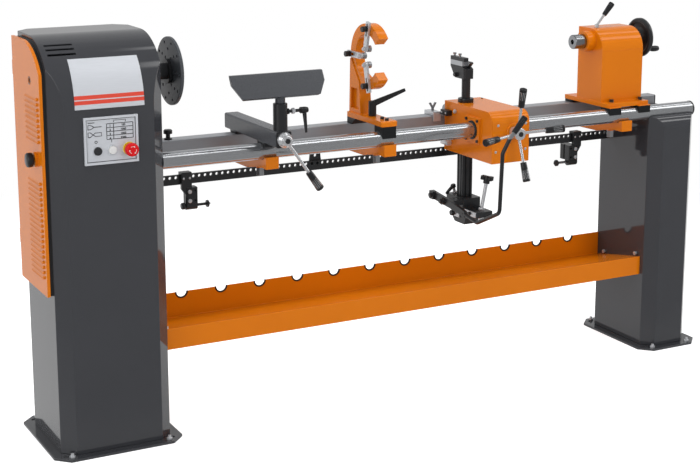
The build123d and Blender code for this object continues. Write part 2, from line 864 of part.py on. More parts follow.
with BuildPart() as rest_clamp_bar:
    add(clamp_bar(rest_x - 22, 44, banjo_z0))
rest_clamp_bar.part.label = "rest_clamp_bar"
export_step(rest_clamp_bar.part, "parts/rest_clamp_bar.step")

cam_dir = (0.585, 0, -0.811)
cam_y = banjo_y0 - 12.0
cam_grip = 132.0
with BuildPart() as cam_lever:
    with BuildSketch(Plane(origin=(rest_x, banjo_y0, banjo_zm), x_dir=(1, 0, 0), z_dir=(0, 0, 1))):
        Polygon((0, -0.5), (24, -0.5), (24, -9), (16, -20), (16, -24), (13, -26), (0, -26), align=None)
    revolve(axis=Axis((rest_x, banjo_y0, banjo_zm), (0, 1, 0)))
    with BuildSketch(Plane(origin=(rest_x, cam_y, banjo_zm), x_dir=(0, 1, 0), z_dir=cam_dir)):
        Circle(5)
    extrude(amount=cam_grip + 6)
    grip_at = (rest_x + cam_dir[0] * cam_grip, cam_y, banjo_zm + cam_dir[2] * cam_grip)
    with BuildSketch(Plane(origin=grip_at, x_dir=(0, 1, 0), z_dir=cam_dir)):
        Circle(9)
    extrude(amount=64, taper=-2.5)
cam_lever.part.label = "cam_lever"
export_step(cam_lever.part, "parts/cam_lever.step")

post_end = 1054.0
with BuildPart() as rest_post:
    with BuildSketch(Plane.XY.offset(banjo_z1 + 5)):
        with Locations((rest_x, sleeve_y)):
            Circle(rest_post_r)
    extrude(amount=post_end - banjo_z1 - 5)
rest_post.part.label = "rest_post"
export_step(rest_post.part, "parts/rest_post.step")

blade_len = 308.0
blade_x0 = rest_x - blade_len / 2
blade_x1 = blade_x0 + blade_len
blade_foot = 1043.0
blade_top = 1117.0
clip_w = 28.0
clip_h = 44.0
rest_boss_r = 15.5
with BuildPart() as tool_rest:
    with BuildSketch(side(blade_x0)):
        Polygon(
            (-226, blade_foot + 6),
            (-214, blade_foot),
            (-178, blade_top - 11),
            (-174, blade_top),
            (-188, blade_top),
            (-192, blade_top - 9),
            align=None,
        )
    extrude(amount=blade_len)
    with BuildSketch(front(sleeve_y - 32)):
        for corner_x, inward in ((blade_x0, clip_w), (blade_x1, -clip_w)):
            Polygon(
                (corner_x - inward, blade_foot + 2 * clip_h),
                (corner_x - inward, blade_foot - clip_h),
                (corner_x + 2 * inward, blade_foot - clip_h),
                align=None,
            )
    extrude(amount=-80, mode=Mode.SUBTRACT)
    with BuildSketch(Plane.XY.offset(sleeve_top + 0.5)):
        with Locations((rest_x, sleeve_y)):
            Circle(rest_boss_r)
    extrude(amount=post_end + 10 - sleeve_top)
    with BuildSketch(Plane.XY.offset(sleeve_top)):
        with Locations((rest_x, sleeve_y)):
            Circle(rest_post_r + run)
    extrude(amount=post_end + 0.5 - sleeve_top, mode=Mode.SUBTRACT)
tool_rest.part.label = "tool_rest"
export_step(tool_rest.part, "parts/tool_rest.step")

lock_z = 1000.0
lock_x = rest_x + sleeve_r
lock_dir = (0, -0.2, -0.98)
lock_hub_x = lock_x + 45.0
with BuildPart() as rest_lock_lever:
    with BuildSketch(turning(sleeve_y, lock_z)):
        Polygon(
            (lock_x + run, 0),
            (lock_x + run, 9),
            (lock_x + 7, 9),
            (lock_x + 7, 5),
            (lock_hub_x, 5),
            (lock_hub_x, 10),
            (lock_hub_x + 16, 10),
            (lock_hub_x + 26, 8),
            (lock_hub_x + 26, 0),
            align=None,
        )
    revolve(axis=Axis((0, sleeve_y, lock_z), (1, 0, 0)))
    with BuildSketch(Plane(origin=(lock_hub_x + 14, sleeve_y, lock_z), x_dir=(1, 0, 0), z_dir=lock_dir)):
        Circle(7)
    extrude(amount=70, taper=2.5)
rest_lock_lever.part.label = "rest_lock_lever"
export_step(rest_lock_lever.part, "parts/rest_lock_lever.step")

# Steady: C-shaped casting on a foot, with three sliding fingers, rollers and knobs
ring_r = 108.0
ring_hole_r = 74.0
ring_t = 34.0
ring_x0 = steady_x - ring_t / 2
throat_turn = 38.0
foot_z0 = 908.0
foot_z1 = 925.0
foot_back = 96.0
column_t = 42.0
web_depth = 11.0
finger_t = 9.0
finger_x0 = ring_x0 - 0.5 - finger_t
top_turn = 102.0
back_turn = 0.0
low_turn = -104.0
finger_turns = (top_turn, back_turn, low_turn)
roller_at = 27.0
roller_r = 11.0
axle_r = 4.0
finger_end = 118.0
knob_at = 95.0
stud_r = 4.0
with BuildPart() as steady_frame:
    with BuildSketch(side(ring_x0)):
        throat_y = axis_y - 160 * cos(radians(throat_turn))
        throat_dz = 160 * sin(radians(throat_turn))
        with Locations((axis_y, axis_z)):
            Circle(ring_r)
            Circle(ring_hole_r, mode=Mode.SUBTRACT)
        Polygon(
            (axis_y, axis_z),
            (throat_y, axis_z + throat_dz),
            (axis_y - 200, axis_z),
            (throat_y, axis_z - throat_dz),
            align=None,
            mode=Mode.SUBTRACT,
        )
    extrude(amount=ring_t)
    with BuildSketch(side(steady_x - column_t / 2)):
        Polygon(
            (foot_back, foot_z1 - 2),
            (16, foot_z1 - 2),
            (28, 1030),
            (axis_y + ring_r - 10, axis_z - 16),
            (axis_y + ring_r - 3, axis_z - 16),
            align=None,
        )
    extrude(amount=column_t)
    with BuildSketch(side(steady_x - column_t / 2), side(steady_x + column_t / 2 - web_depth)):
        Polygon((30, foot_z1 + 14), (84, foot_z1 + 14), (82, 1008), (38, 1008), align=None)
    extrude(amount=web_depth, mode=Mode.SUBTRACT)
    with BuildSketch(side(steady_x - 29)):
        Polygon(
            (-140, foot_z0),
            (-140, foot_z1 - 3),
            (-136, foot_z1),
            (foot_back, foot_z1),
            (foot_back, rail_top + run),
            (62, rail_top + run),
            (36, foot_z0),
            align=None,
        )
    extrude(amount=58)
    add(tube_saddle(steady_x - 25, 50, foot_z0 + 3, 22))
    with BuildSketch(side(finger_x0 - 12)):
        with Locations((axis_y, axis_z)):
            with Locations(*[(knob_at * cos(radians(t)), knob_at * sin(radians(t))) for t in finger_turns]):
                Circle(stud_r)
    extrude(amount=12 + finger_t + 1)
steady_frame.part.label = "steady_frame"
export_step(steady_frame.part, "parts/steady_frame.step")

with BuildPart() as steady_clamp_bar:
    add(clamp_bar(steady_x - 22, 44, foot_z0))
steady_clamp_bar.part.label = "steady_clamp_bar"
export_step(steady_clamp_bar.part, "parts/steady_clamp_bar.step")


def finger(turn):
    """Slotted finger pointing at the axis, with the roller's axle at the tip."""
    along = Plane(
        origin=(finger_x0, axis_y, axis_z),
        x_dir=(0, cos(radians(turn)), sin(radians(turn))),
        z_dir=(1, 0, 0),
    )
    with BuildPart() as bar:
        with BuildSketch(along):
            with Locations((roller_at, 0)):
                Circle(10)
            with Locations(((roller_at + finger_end) / 2, 0)):
                Rectangle(finger_end - roller_at, 20)
            with Locations((knob_at - 4, 0)):
                SlotOverall(44, 2 * stud_r + 1, mode=Mode.SUBTRACT)
        extrude(amount=finger_t)
        with BuildSketch(along):
            with Locations((roller_at, 0)):
                Circle(axle_r)
        extrude(amount=finger_t + 15)
    return bar.part


def roller(turn):
    """Roller on the finger's axle."""
    at_y = axis_y + roller_at * cos(radians(turn))
    at_z = axis_z + roller_at * sin(radians(turn))
    with BuildPart() as wheel:
        with BuildSketch(side(finger_x0 + finger_t + 1)):
            with Locations((at_y, at_z)):
                Circle(roller_r)
                Circle(axle_r + run, mode=Mode.SUBTRACT)
        extrude(amount=12)
    return wheel.part


def finger_knob(turn):
    """Fluted blind nut, waisted over its washer face, on the casting's stud."""
    at_y = axis_y + knob_at * cos(radians(turn))
    at_z = axis_z + knob_at * sin(radians(turn))
    with BuildPart() as knob:
        with BuildSketch(side(finger_x0 - 19)):
            with Locations((at_y, at_z)):
                Circle(9.5)
                with PolarLocations(10.5, 8):
                    Circle(2, mode=Mode.SUBTRACT)
        extrude(amount=11)
        with BuildSketch(side(finger_x0 - 8)):
            with Locations((at_y, at_z)):
                Circle(7)
        extrude(amount=3)
        with BuildSketch(side(finger_x0 - 5)):
            with Locations((at_y, at_z)):
                Circle(10)
        extrude(amount=4)
        with BuildSketch(side(finger_x0 - 14)):
            with Locations((at_y, at_z)):
                Circle(stud_r + run)
        extrude(amount=14, mode=Mode.SUBTRACT)
    return knob.part


with BuildPart() as top_finger:
    add(finger(top_turn))
top_finger.part.label = "top_finger"
export_step(top_finger.part, "parts/top_finger.step")

with BuildPart() as back_finger:
    add(finger(back_turn))
back_finger.part.label = "back_finger"
export_step(back_finger.part, "parts/back_finger.step")

with BuildPart() as low_finger:
    add(finger(low_turn))
low_finger.part.label = "low_finger"
export_step(low_finger.part, "parts/low_finger.step")

with BuildPart() as top_roller:
    add(roller(top_turn))
top_roller.part.label = "top_roller"
export_step(top_roller.part, "parts/top_roller.step")

with BuildPart() as back_roller:
    add(roller(back_turn))
back_roller.part.label = "back_roller"
export_step(back_roller.part, "parts/back_roller.step")

with BuildPart() as low_roller:
    add(roller(low_turn))
low_roller.part.label = "low_roller"
export_step(low_roller.part, "parts/low_roller.step")

with BuildPart() as top_knob:
    add(finger_knob(top_turn))
top_knob.part.label = "top_knob"
export_step(top_knob.part, "parts/top_knob.step")

with BuildPart() as back_knob:
    add(finger_knob(back_turn))
back_knob.part.label = "back_knob"
export_step(back_knob.part, "parts/back_knob.step")

with BuildPart() as low_knob:
    add(finger_knob(low_turn))
low_knob.part.label = "low_knob"
export_step(low_knob.part, "parts/low_knob.step")

lever_y = -27.0
steady_arm = (0.76, -0.5, 0.416)
with BuildPart() as steady_lever:
    with BuildSketch(Plane.XY.offset(foot_z1 + 0.5)):
        with Locations((steady_x, lever_y)):
            Circle(13)
    extrude(amount=50)
    fillet(steady_lever.faces().sort_by(Axis.Z)[-1].edges(), radius=3)
    arm_root = (steady_x, lever_y, foot_z1 + 40)
    with BuildSketch(Plane(origin=arm_root, x_dir=(0.5, 0.76, 0), z_dir=steady_arm)):
        Rectangle(13, 20)
    extrude(amount=118, taper=2.2)
steady_lever.part.label = "steady_lever"
export_step(steady_lever.part, "parts/steady_lever.step")

# Copying carriage: sheet box on a tube bushing, capstan, roller on the rear rail
box_w = 144.0
box_y0 = -227.0
box_y1 = 74.0
box_z0 = 766.0
box_z1 = 937.0
box_r = 38.0
box_wall = 5.0
box_x1 = carriage_x0 + box_w
post_x = carriage_x0 + 42.0
post_y = 5.0
post_r = 15.0
post_s = 40.0
bush_r = 30.0
lip_r = 31.5
capstan_x = 1367.0
capstan_z = 867.0
capstan_shaft_r = 10.0
guide_x = carriage_x0 + 29.0
guide_r = 16.0
guide_z = rail_top + run + guide_r


def box_profile(inset):
    """Side outline of the carriage box, rounded at the front top."""
    r = box_r - inset
    y0 = box_y0 + inset
    z0 = box_z0 + inset
    y1 = box_y1 - inset
    z1 = box_z1 - inset
    with BuildSketch() as outline:
        with BuildLine():
            Line((y0, z0), (y0, z1 - r))
            CenterArc((y0 + r, z1 - r), r, 90, 90)
            Polyline((y0 + r, z1), (y1, z1), (y1, z0), (y0, z0))
        make_face()
    return outline.sketch


with BuildPart() as carriage_box:
    with BuildSketch(side(carriage_x0)):
        add(box_profile(0))
    extrude(amount=box_w)
    with BuildSketch(side(carriage_x0 + box_wall)):
        add(box_profile(box_wall))
    extrude(amount=box_w - 2 * box_wall, mode=Mode.SUBTRACT)
    with BuildSketch(side(carriage_x0)):
        with Locations((tube_y, tube_z)):
            Rectangle(86, 86)
    extrude(amount=-8)
    with BuildSketch(side(carriage_x0 - 8)):
        with Locations((tube_y, tube_z)):
            Circle(bush_r)
    extrude(amount=box_w + 8, mode=Mode.SUBTRACT)
    with BuildSketch(Plane.XY.offset(box_z1 - box_wall)):
        with Locations((post_x, post_y)):
            Circle(25)
    extrude(amount=box_wall + 14)
    with BuildSketch(Plane.XY.offset(box_z1 - box_wall)):
        with Locations((post_x, post_y)):
            Circle(post_r + run)
    extrude(amount=box_wall + 14, mode=Mode.SUBTRACT)
    with BuildSketch(Plane.XY.offset(box_z0)):
        with Locations((post_x, post_y)):
            Rectangle(post_s + 4, post_s + 4)
    extrude(amount=box_wall, mode=Mode.SUBTRACT)
    with BuildSketch(front(box_y0)):
        with Locations((capstan_x, capstan_z)):
            Circle(29)
    extrude(amount=5)
    with BuildSketch(front(box_y0 - 5)):
        with Locations((capstan_x, capstan_z)):
            Circle(capstan_shaft_r + run)
    extrude(amount=-(5 + box_wall), mode=Mode.SUBTRACT)
    with BuildSketch(front(box_y1)):
        with Locations((guide_x, guide_z)):
            Circle(5)
    extrude(amount=-42)
    with BuildSketch(side(guide_x - 16)):
        with Locations((box_y1 + 18, rail_bottom - run - 8)):
            Rectangle(36, 16)
    extrude(amount=32)
carriage_box.part.label = "carriage_box"
export_step(carriage_box.part, "parts/carriage_box.step")

with BuildPart() as tube_bushing:
    with BuildSketch(turning(tube_y, tube_z)):
        Polygon(
            (carriage_x0 - 12, tube_r + run),
            (carriage_x0 - 12, bush_r),
            (carriage_x0 - 10, lip_r),
            (carriage_x0 - 8, lip_r),
            (carriage_x0 - 8, bush_r),
            (box_x1, bush_r),
            (box_x1, lip_r),
            (box_x1 + 4, lip_r),
            (box_x1 + 4, tube_r + run),
            align=None,
        )
    revolve(axis=Axis((0, tube_y, tube_z), (1, 0, 0)))
tube_bushing.part.label = "tube_bushing"
export_step(tube_bushing.part, "parts/tube_bushing.step")

with BuildPart() as guide_roller:
    with BuildSketch(front(box_y1 + 14)):
        with Locations((guide_x, guide_z)):
            Circle(guide_r)
            Circle(5 + run, mode=Mode.SUBTRACT)
    extrude(amount=-24)
guide_roller.part.label = "guide_roller"
export_step(guide_roller.part, "parts/guide_roller.step")

capstan_lean = radians(15)
capstan_turn = 4.0
capstan_grip = 98.0
with BuildPart() as capstan:
    hub_plane = Plane(origin=(capstan_x, box_y0, capstan_z), x_dir=(1, 0, 0), z_dir=(0, 0, 1))
    with BuildSketch(hub_plane):
        Polygon(
            (0, 34),
            (22, 34),
            (22, 16),
            (capstan_shaft_r, 16),
            (capstan_shaft_r, -5.5),
            (21, -5.5),
            (21, -40),
            (18, -44),
            (0, -44),
            align=None,
        )
    revolve(axis=Axis((capstan_x, 0, capstan_z), (0, 1, 0)))
    for i in range(4):
        turn = radians(90 * i + capstan_turn)
        arm = (cos(turn) * cos(capstan_lean), -sin(capstan_lean), sin(turn) * cos(capstan_lean))
        root = (capstan_x, box_y0 - 26, capstan_z)
        with BuildSketch(Plane(origin=root, z_dir=arm)):
            Circle(5)
        extrude(amount=capstan_grip + 6)
        grip_root = tuple(r + capstan_grip * a for r, a in zip(root, arm))
        with BuildSketch(Plane(origin=grip_root, z_dir=arm)):
            Circle(9)
        extrude(amount=60, taper=-2.5)
capstan.part.label = "capstan"
export_step(capstan.part, "parts/capstan.step")

# Copying slide: post with tool head above and tracer block, arm, hand lever and depth screw below
post_foot = 612.0
post_shoulder = 900.0
post_top = 1040.0
with BuildPart() as copy_post:
    with BuildSketch(Plane.XY.offset(post_foot)) as fluted:
        with Locations((post_x, post_y)):
            Rectangle(post_s, post_s)
        fillet(fluted.vertices(), radius=4)
        with Locations((post_x, post_y)):
            with PolarLocations(post_s / 2, 4):
                with Locations((0, 9), (0, -9)):
                    Rectangle(8, 5, mode=Mode.SUBTRACT)
    extrude(amount=post_shoulder - post_foot)
    with BuildSketch(Plane.XY.offset(post_shoulder)):
        with Locations((post_x, post_y)):
            Circle(post_r)
    extrude(amount=post_top - post_shoulder)
copy_post.part.label = "copy_post"
export_step(copy_post.part, "parts/copy_post.step")

head_z0 = 1018.0
head_top = 1061.0
head_half = 17.5
head_front = post_y - post_r - 2.0
head_back = 79.0
holder_top = 1078.0
clamp_top = 1090.0
clamp_x = post_x - head_half / 2
with BuildPart() as tool_head:
    with BuildSketch(side(post_x - head_half)):
        Polygon(
            (head_front, head_z0),
            (head_front, head_top - 9),
            (head_front + 18, head_top),
            (head_back, head_top),
            (head_back, head_top - 5),
            (50, head_z0),
            align=None,
        )
    extrude(amount=2 * head_half)
    front_corner = tool_head.edges().filter_by(Axis.Z).sort_by(Axis.Y)[0:2].sort_by(Axis.X)[0]
    chamfer(front_corner, length=6)
    with BuildSketch(Plane.XY.offset(head_z0)):
        with Locations((post_x, post_y)):
            Circle(post_r)
    extrude(amount=post_top - head_z0, mode=Mode.SUBTRACT)
    with BuildSketch(side(post_x - head_half)):
        with Locations(((3 + head_back) / 2, (head_top - 1 + holder_top) / 2)):
            Rectangle(head_back - 3, holder_top - head_top + 1)
    extrude(amount=head_half - 2)
    with BuildSketch(side(post_x - 2)):
        Polygon(
            (head_front - 8, head_top + 12),
            (head_front - 1, head_top + 15),
            (60, head_top + 15),
            (60, head_top - 1),
            (head_front + 6, head_top - 1),
            align=None,
        )
    extrude(amount=head_half - 2)
    with BuildSketch(side(post_x - head_half)):
        with Locations(((head_back - 8) / 2, (holder_top - 1 + clamp_top) / 2)):
            Rectangle(head_back + 8, clamp_top - holder_top + 1)
    extrude(amount=head_half)
    with BuildSketch(Plane.XY.offset(clamp_top)):
        with Locations((clamp_x, 32), (clamp_x, 66)):
            Circle(3.5)
    extrude(amount=6)
    with BuildSketch(Plane.XY.offset(clamp_top + 5)):
        with Locations((clamp_x, 32), (clamp_x, 66)):
            RegularPolygon(6.5, 6)
    extrude(amount=6)
    with BuildSketch(side(post_x - head_half)):
        with Locations((41, 1029)):
            RegularPolygon(7.5, 6)
    extrude(amount=-9)
tool_head.part.label = "tool_head"
export_step(tool_head.part, "parts/tool_head.step")

arm_x0 = 1225.0
arm_t = 12.0
foot_z = 574.0
foot_w = 71.0
screw_r = 6.0
screw_dir = (0.19, 0, 0.982)
screw_at = (post_x + 4, -96.0, 572.0)
with BuildPart() as tracer_block:
    with BuildSketch(Plane.XY.offset(foot_z)) as foot_plan:
        with Locations((post_x, 11)):
            Rectangle(foot_w, 112)
        fillet(foot_plan.vertices(), radius=5)
    extrude(amount=post_foot - foot_z)
    with BuildSketch(side(post_x - 31)):
        Polygon(
            (-126, 560),
            (-126, 580),
            (-40, 580),
            (-40, 590),
            (34, 590),
            (34, 540),
            (16, 522),
            (-46, 522),
            (-60, 560),
            align=None,
        )
    extrude(amount=62)
    with BuildSketch(side(arm_x0 + arm_t)):
        with Locations((-20, 600)):
            Rectangle(44, 18)
    extrude(amount=post_x - foot_w / 2 - arm_x0 - arm_t + 4)
    with BuildSketch(Plane(origin=screw_at, x_dir=(0, 1, 0), z_dir=screw_dir)):
        Circle(screw_r + run)
    extrude(amount=60, both=True, mode=Mode.SUBTRACT)
tracer_block.part.label = "tracer_block"
export_step(tracer_block.part, "parts/tracer_block.step")

lever_x = arm_x0 + arm_t / 2
with BuildPart() as hand_lever:
    with BuildSketch(side(arm_x0)):
        Polygon((60, 630), (-60, 617), (-156, 599), (-156, 578), (-60, 591), (60, 604), align=None)
    extrude(amount=arm_t)
    with BuildSketch(side(arm_x0 - 8)):
        with Locations((47, 616)):
            Rectangle(26, 28)
        with Locations((-20, 608)):
            Circle(13)
    extrude(amount=arm_t / 2 + 8)
    with BuildSketch(side(arm_x0 - 8)):
        with Locations((47, 616), (-20, 608)):
            RegularPolygon(8, 6)
    extrude(amount=-7)
    with BuildLine() as lever_line:
        FilletPolyline(
            (lever_x, -146, 589),
            (lever_x, -227, 575),
            (lever_x, -358, 636),
            (lever_x, -369, 833),
            (lever_x + 22, -375, 880),
            (lever_x + 78, -375, 944),
            radius=24,
        )
    with BuildSketch(Plane(origin=lever_line.line @ 0, z_dir=lever_line.line % 0)):
        Circle(6.5)
    sweep(path=lever_line.line)
    with BuildSketch(Plane(origin=lever_line.line @ 1, z_dir=lever_line.line % 1)):
        Circle(9.5)
    extrude(amount=-60, taper=1.5)
hand_lever.part.label = "hand_lever"
export_step(hand_lever.part, "parts/hand_lever.step")

with BuildPart() as depth_screw:
    with BuildSketch(Plane(origin=screw_at, x_dir=(0, 1, 0), z_dir=screw_dir)):
        Circle(screw_r)
    extrude(amount=106)
    with BuildSketch(Plane(origin=screw_at, x_dir=(0, 1, 0), z_dir=screw_dir)):
        Circle(screw_r)
    extrude(amount=-34)
    star_at = tuple(s + 100 * d for s, d in zip(screw_at, screw_dir))
    with BuildSketch(Plane(origin=star_at, x_dir=(0, 1, 0), z_dir=screw_dir)):
        Circle(11)
    extrude(amount=14)
    star_top = tuple(s + 112 * d for s, d in zip(screw_at, screw_dir))
    with BuildSketch(Plane(origin=star_top, x_dir=(0, 1, 0), z_dir=screw_dir)):
        Circle(14)
        with PolarLocations(17, 4):
            Circle(8)
    extrude(amount=14)
depth_screw.part.label = "depth_screw"
export_step(depth_screw.part, "parts/depth_screw.step")

stop_x0 = carriage_x0 - 46.0
with BuildPart() as carriage_stop:
    with BuildSketch(side(stop_x0)):
        Polygon(
            (rail_front - 6, rail_top - 20),
            (rail_front - 6, rail_top + 13),
            (rail_back + 6, rail_top + 13),
            (rail_back + 6, rail_top - 20),
            (rail_back + 0.5, rail_top - 20),
            (rail_back + 0.5, rail_top + 0.5),
            (rail_front - 0.5, rail_top + 0.5),
            (rail_front - 0.5, rail_top - 20),
            align=None,
        )
    extrude(amount=30)
    with BuildSketch(front(rail_y - 3)):
        Polygon(
            (stop_x0 + 11, rail_top + 12),
            (stop_x0 + 11, rail_top + 22),
            (stop_x0, rail_top + 40),
            (stop_x0 + 7, rail_top + 42),
            (stop_x0 + 15, rail_top + 28),
            (stop_x0 + 23, rail_top + 42),
            (stop_x0 + 30, rail_top + 40),
            (stop_x0 + 19, rail_top + 22),
            (stop_x0 + 19, rail_top + 12),
            align=None,
        )
    extrude(amount=-6)
carriage_stop.part.label = "carriage_stop"
export_step(carriage_stop.part, "parts/carriage_stop.step")

# Tailstock: hollow body on its plate, quill guide, quill, handwheel, crank handle and lock lever
ts_plate_z0 = tube_top + 5.0
ts_plate_z1 = ts_plate_z0 + 15.0
ts_len = 180.0
ts_x1 = tailstock_x0 + ts_len
ts_y0 = -88.0
ts_y1 = 53.0
ts_top = 1165.0
ts_r = 75.0
ts_wall = 8.0
boss_out = 30.0
quill_r = 25.0
screw_rod_r = 8.0


def tailstock_profile(inset):
    """Side outline of the tailstock body, rounded at the front top."""
    r = ts_r - inset
    y0 = ts_y0 + inset
    y1 = ts_y1 - inset
    z0 = ts_plate_z1 - 1 + inset
    z1 = ts_top - inset
    with BuildSketch() as outline:
        with BuildLine():
            Line((y0, z0), (y0, z1 - r))
            CenterArc((y0 + r, z1 - r), r, 90, 90)
            Polyline((y0 + r, z1), (y1, z1), (y1, z0), (y0, z0))
        make_face()
    return outline.sketch


with BuildPart() as tailstock_body:
    with BuildSketch(side(tailstock_x0 + 3)):
        add(tailstock_profile(0))
    extrude(amount=ts_len - 3)
    with BuildSketch(side(tailstock_x0 + 3 + ts_wall)):
        add(tailstock_profile(ts_wall))
    extrude(amount=ts_len - 3 - 2 * ts_wall, mode=Mode.SUBTRACT)
    with BuildSketch(Plane.XY.offset(ts_plate_z0)):
        with Locations((tailstock_x0 + ts_len / 2, -4)):
            Rectangle(ts_len, 250)
    extrude(amount=ts_plate_z1 - ts_plate_z0)
    for shoe_x in (tailstock_x0 + 3, ts_x1 - 50):
        add(tube_saddle(shoe_x, 50, ts_plate_z0 + 2, 20))
        add(rail_pad(shoe_x, 50, ts_plate_z0 + 2))
    with BuildSketch(side(tailstock_x0 - boss_out)):
        with Locations((axis_y, axis_z)):
            Circle(36)
    extrude(amount=boss_out + 7)
    with BuildSketch(side(tailstock_x0 + 6)):
        with Locations((axis_y, axis_z)):
            Circle(34)
    extrude(amount=130)
    with BuildSketch(side(tailstock_x0 - boss_out)):
        with Locations((axis_y, axis_z)):
            Circle(quill_r + run)
    extrude(amount=boss_out + 137, mode=Mode.SUBTRACT)
    with BuildSketch(side(ts_x1 - ts_wall)):
        with Locations((axis_y, axis_z)):
            Circle(screw_rod_r + run)
    extrude(amount=ts_wall, mode=Mode.SUBTRACT)
    with BuildSketch(Plane.XY.offset(ts_plate_z1)):
        with Locations((tailstock_x0 + 40, ts_y0 - 13), (ts_x1 - 15, ts_y0 - 13)):
            Circle(7)
    extrude(amount=9)
tailstock_body.part.label = "tailstock_body"
export_step(tailstock_body.part, "parts/tailstock_body.step")

with BuildPart() as tailstock_clamp_bar:
    add(clamp_bar(tailstock_x0 + 52, 44, ts_plate_z0))
tailstock_clamp_bar.part.label = "tailstock_clamp_bar"
export_step(tailstock_clamp_bar.part, "parts/tailstock_clamp_bar.step")

quill_x0 = 1749.0
quill_x1 = 1930.0
with BuildPart() as quill:
    with BuildSketch(turning(axis_y, axis_z)):
        Polygon(
            (quill_x0 + 30, 0),
            (quill_x0 + 22, 7),
            (quill_x0, 8.5),
            (quill_x0, quill_r - 2),
            (quill_x0 + 2, quill_r),
            (quill_x1, quill_r),
            (quill_x1, screw_rod_r + 1),
            (quill_x0 + 60, screw_rod_r + 1),
            (quill_x0 + 60, 0),
            align=None,
        )
    revolve(axis=Axis((0, axis_y, axis_z), (1, 0, 0)))
quill.part.label = "quill"
export_step(quill.part, "parts/quill.step")

wheel_r = 70.0
wheel_x = 2036.0
crank_y = axis_y - 42.0
crank_z = axis_z - 38.0
with BuildPart() as handwheel:
    with BuildSketch(turning(axis_y, axis_z)):
        Polygon(
            (quill_x1 - 70, 0),
            (quill_x1 - 70, screw_rod_r),
            (ts_x1 + 1, screw_rod_r),
            (ts_x1 + 1, 19),
            (wheel_x - 2, 21),
            (wheel_x + 4, 54),
            (wheel_x - 1, 58),
            (wheel_x, 67),
            (wheel_x + 5, wheel_r),
            (wheel_x + 13, wheel_r),
            (wheel_x + 18, 66),
            (wheel_x + 17, 56),
            (wheel_x + 12, 54),
            (wheel_x + 10, 22),
            (wheel_x + 16, 18),
            (wheel_x + 16, 0),
            align=None,
        )
    revolve(axis=Axis((0, axis_y, axis_z), (1, 0, 0)))
    with BuildSketch(side(wheel_x - 6)):
        with Locations((axis_y, axis_z)):
            with PolarLocations(38, 5, start_angle=6):
                Circle(13)
    extrude(amount=24, mode=Mode.SUBTRACT)
    with BuildSketch(side(wheel_x + 9)):
        with Locations((crank_y, crank_z)):
            Circle(4)
    extrude(amount=48)
handwheel.part.label = "handwheel"
export_step(handwheel.part, "parts/handwheel.step")

crank_x0 = wheel_x + 19.0
with BuildPart() as crank_handle:
    with BuildSketch(turning(crank_y, crank_z)):
        with BuildLine():
            Polyline((crank_x0, 4 + run), (crank_x0, 7.5), (crank_x0 + 6, 8))
            Spline((crank_x0 + 6, 8), (crank_x0 + 26, 10.5), (crank_x0 + 40, 8.5))
            Polyline((crank_x0 + 40, 8.5), (crank_x0 + 42, 4 + run), (crank_x0, 4 + run))
        make_face()
    revolve(axis=Axis((0, crank_y, crank_z), (1, 0, 0)))
crank_handle.part.label = "crank_handle"
export_step(crank_handle.part, "parts/crank_handle.step")

lock_lever_x = tailstock_x0 + 30.0
lock_arm = (0.65, 0, 0.76)
with BuildPart() as quill_lock_lever:
    with BuildSketch(Plane.XY.offset(ts_top + run)):
        with Locations((lock_lever_x, axis_y)):
            Circle(8)
    extrude(amount=12)
    lock_root = (lock_lever_x, axis_y, ts_top + 8)
    with BuildSketch(Plane(origin=lock_root, x_dir=(0, 1, 0), z_dir=lock_arm)):
        Circle(4.5)
    extrude(amount=54)
    lock_grip = tuple(r + 48 * a for r, a in zip(lock_root, lock_arm))
    with BuildSketch(Plane(origin=lock_grip, x_dir=(0, 1, 0), z_dir=lock_arm)):
        Circle(7)
    extrude(amount=48, taper=-3)
quill_lock_lever.part.label = "quill_lock_lever"
export_step(quill_lock_lever.part, "parts/quill_lock_lever.step")
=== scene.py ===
"""Looks of a copying wood lathe: enamelled sheet columns, steel bed, orange units, black fittings."""

import math

import bmesh
import bpy
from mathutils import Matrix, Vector


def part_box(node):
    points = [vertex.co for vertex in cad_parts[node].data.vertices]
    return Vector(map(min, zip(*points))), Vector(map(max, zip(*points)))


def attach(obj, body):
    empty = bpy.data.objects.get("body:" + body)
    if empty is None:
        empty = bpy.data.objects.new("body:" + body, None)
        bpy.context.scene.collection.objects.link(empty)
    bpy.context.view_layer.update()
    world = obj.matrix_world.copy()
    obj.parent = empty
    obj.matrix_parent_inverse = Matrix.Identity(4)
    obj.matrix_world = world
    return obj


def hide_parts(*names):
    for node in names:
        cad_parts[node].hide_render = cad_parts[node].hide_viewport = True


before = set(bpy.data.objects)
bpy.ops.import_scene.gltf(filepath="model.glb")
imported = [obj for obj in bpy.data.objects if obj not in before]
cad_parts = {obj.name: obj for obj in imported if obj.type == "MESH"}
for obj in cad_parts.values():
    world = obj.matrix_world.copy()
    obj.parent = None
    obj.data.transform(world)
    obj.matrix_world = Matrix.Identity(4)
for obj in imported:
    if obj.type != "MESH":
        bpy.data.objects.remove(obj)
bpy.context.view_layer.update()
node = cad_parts
scene = bpy.context.scene
scene.view_settings.view_transform = "Standard"

# Camera: a long lens at the operator's left, above the top of the headstock and looking slightly down.
# The picture plane is shifted down, as a view camera's is, so the columns stay nearly upright.
lens = bpy.data.cameras.new("studio_camera")
lens.lens = 77.43
lens.sensor_width = 36.0
lens.shift_y = -0.0964
camera = bpy.data.objects.new("studio_camera", lens)
camera.location = (-1.388, -4.291, 1.779)
camera.rotation_euler = (math.radians(90 - 11.83), 0, math.radians(-27.83))
scene.collection.objects.link(camera)
scene.camera = camera


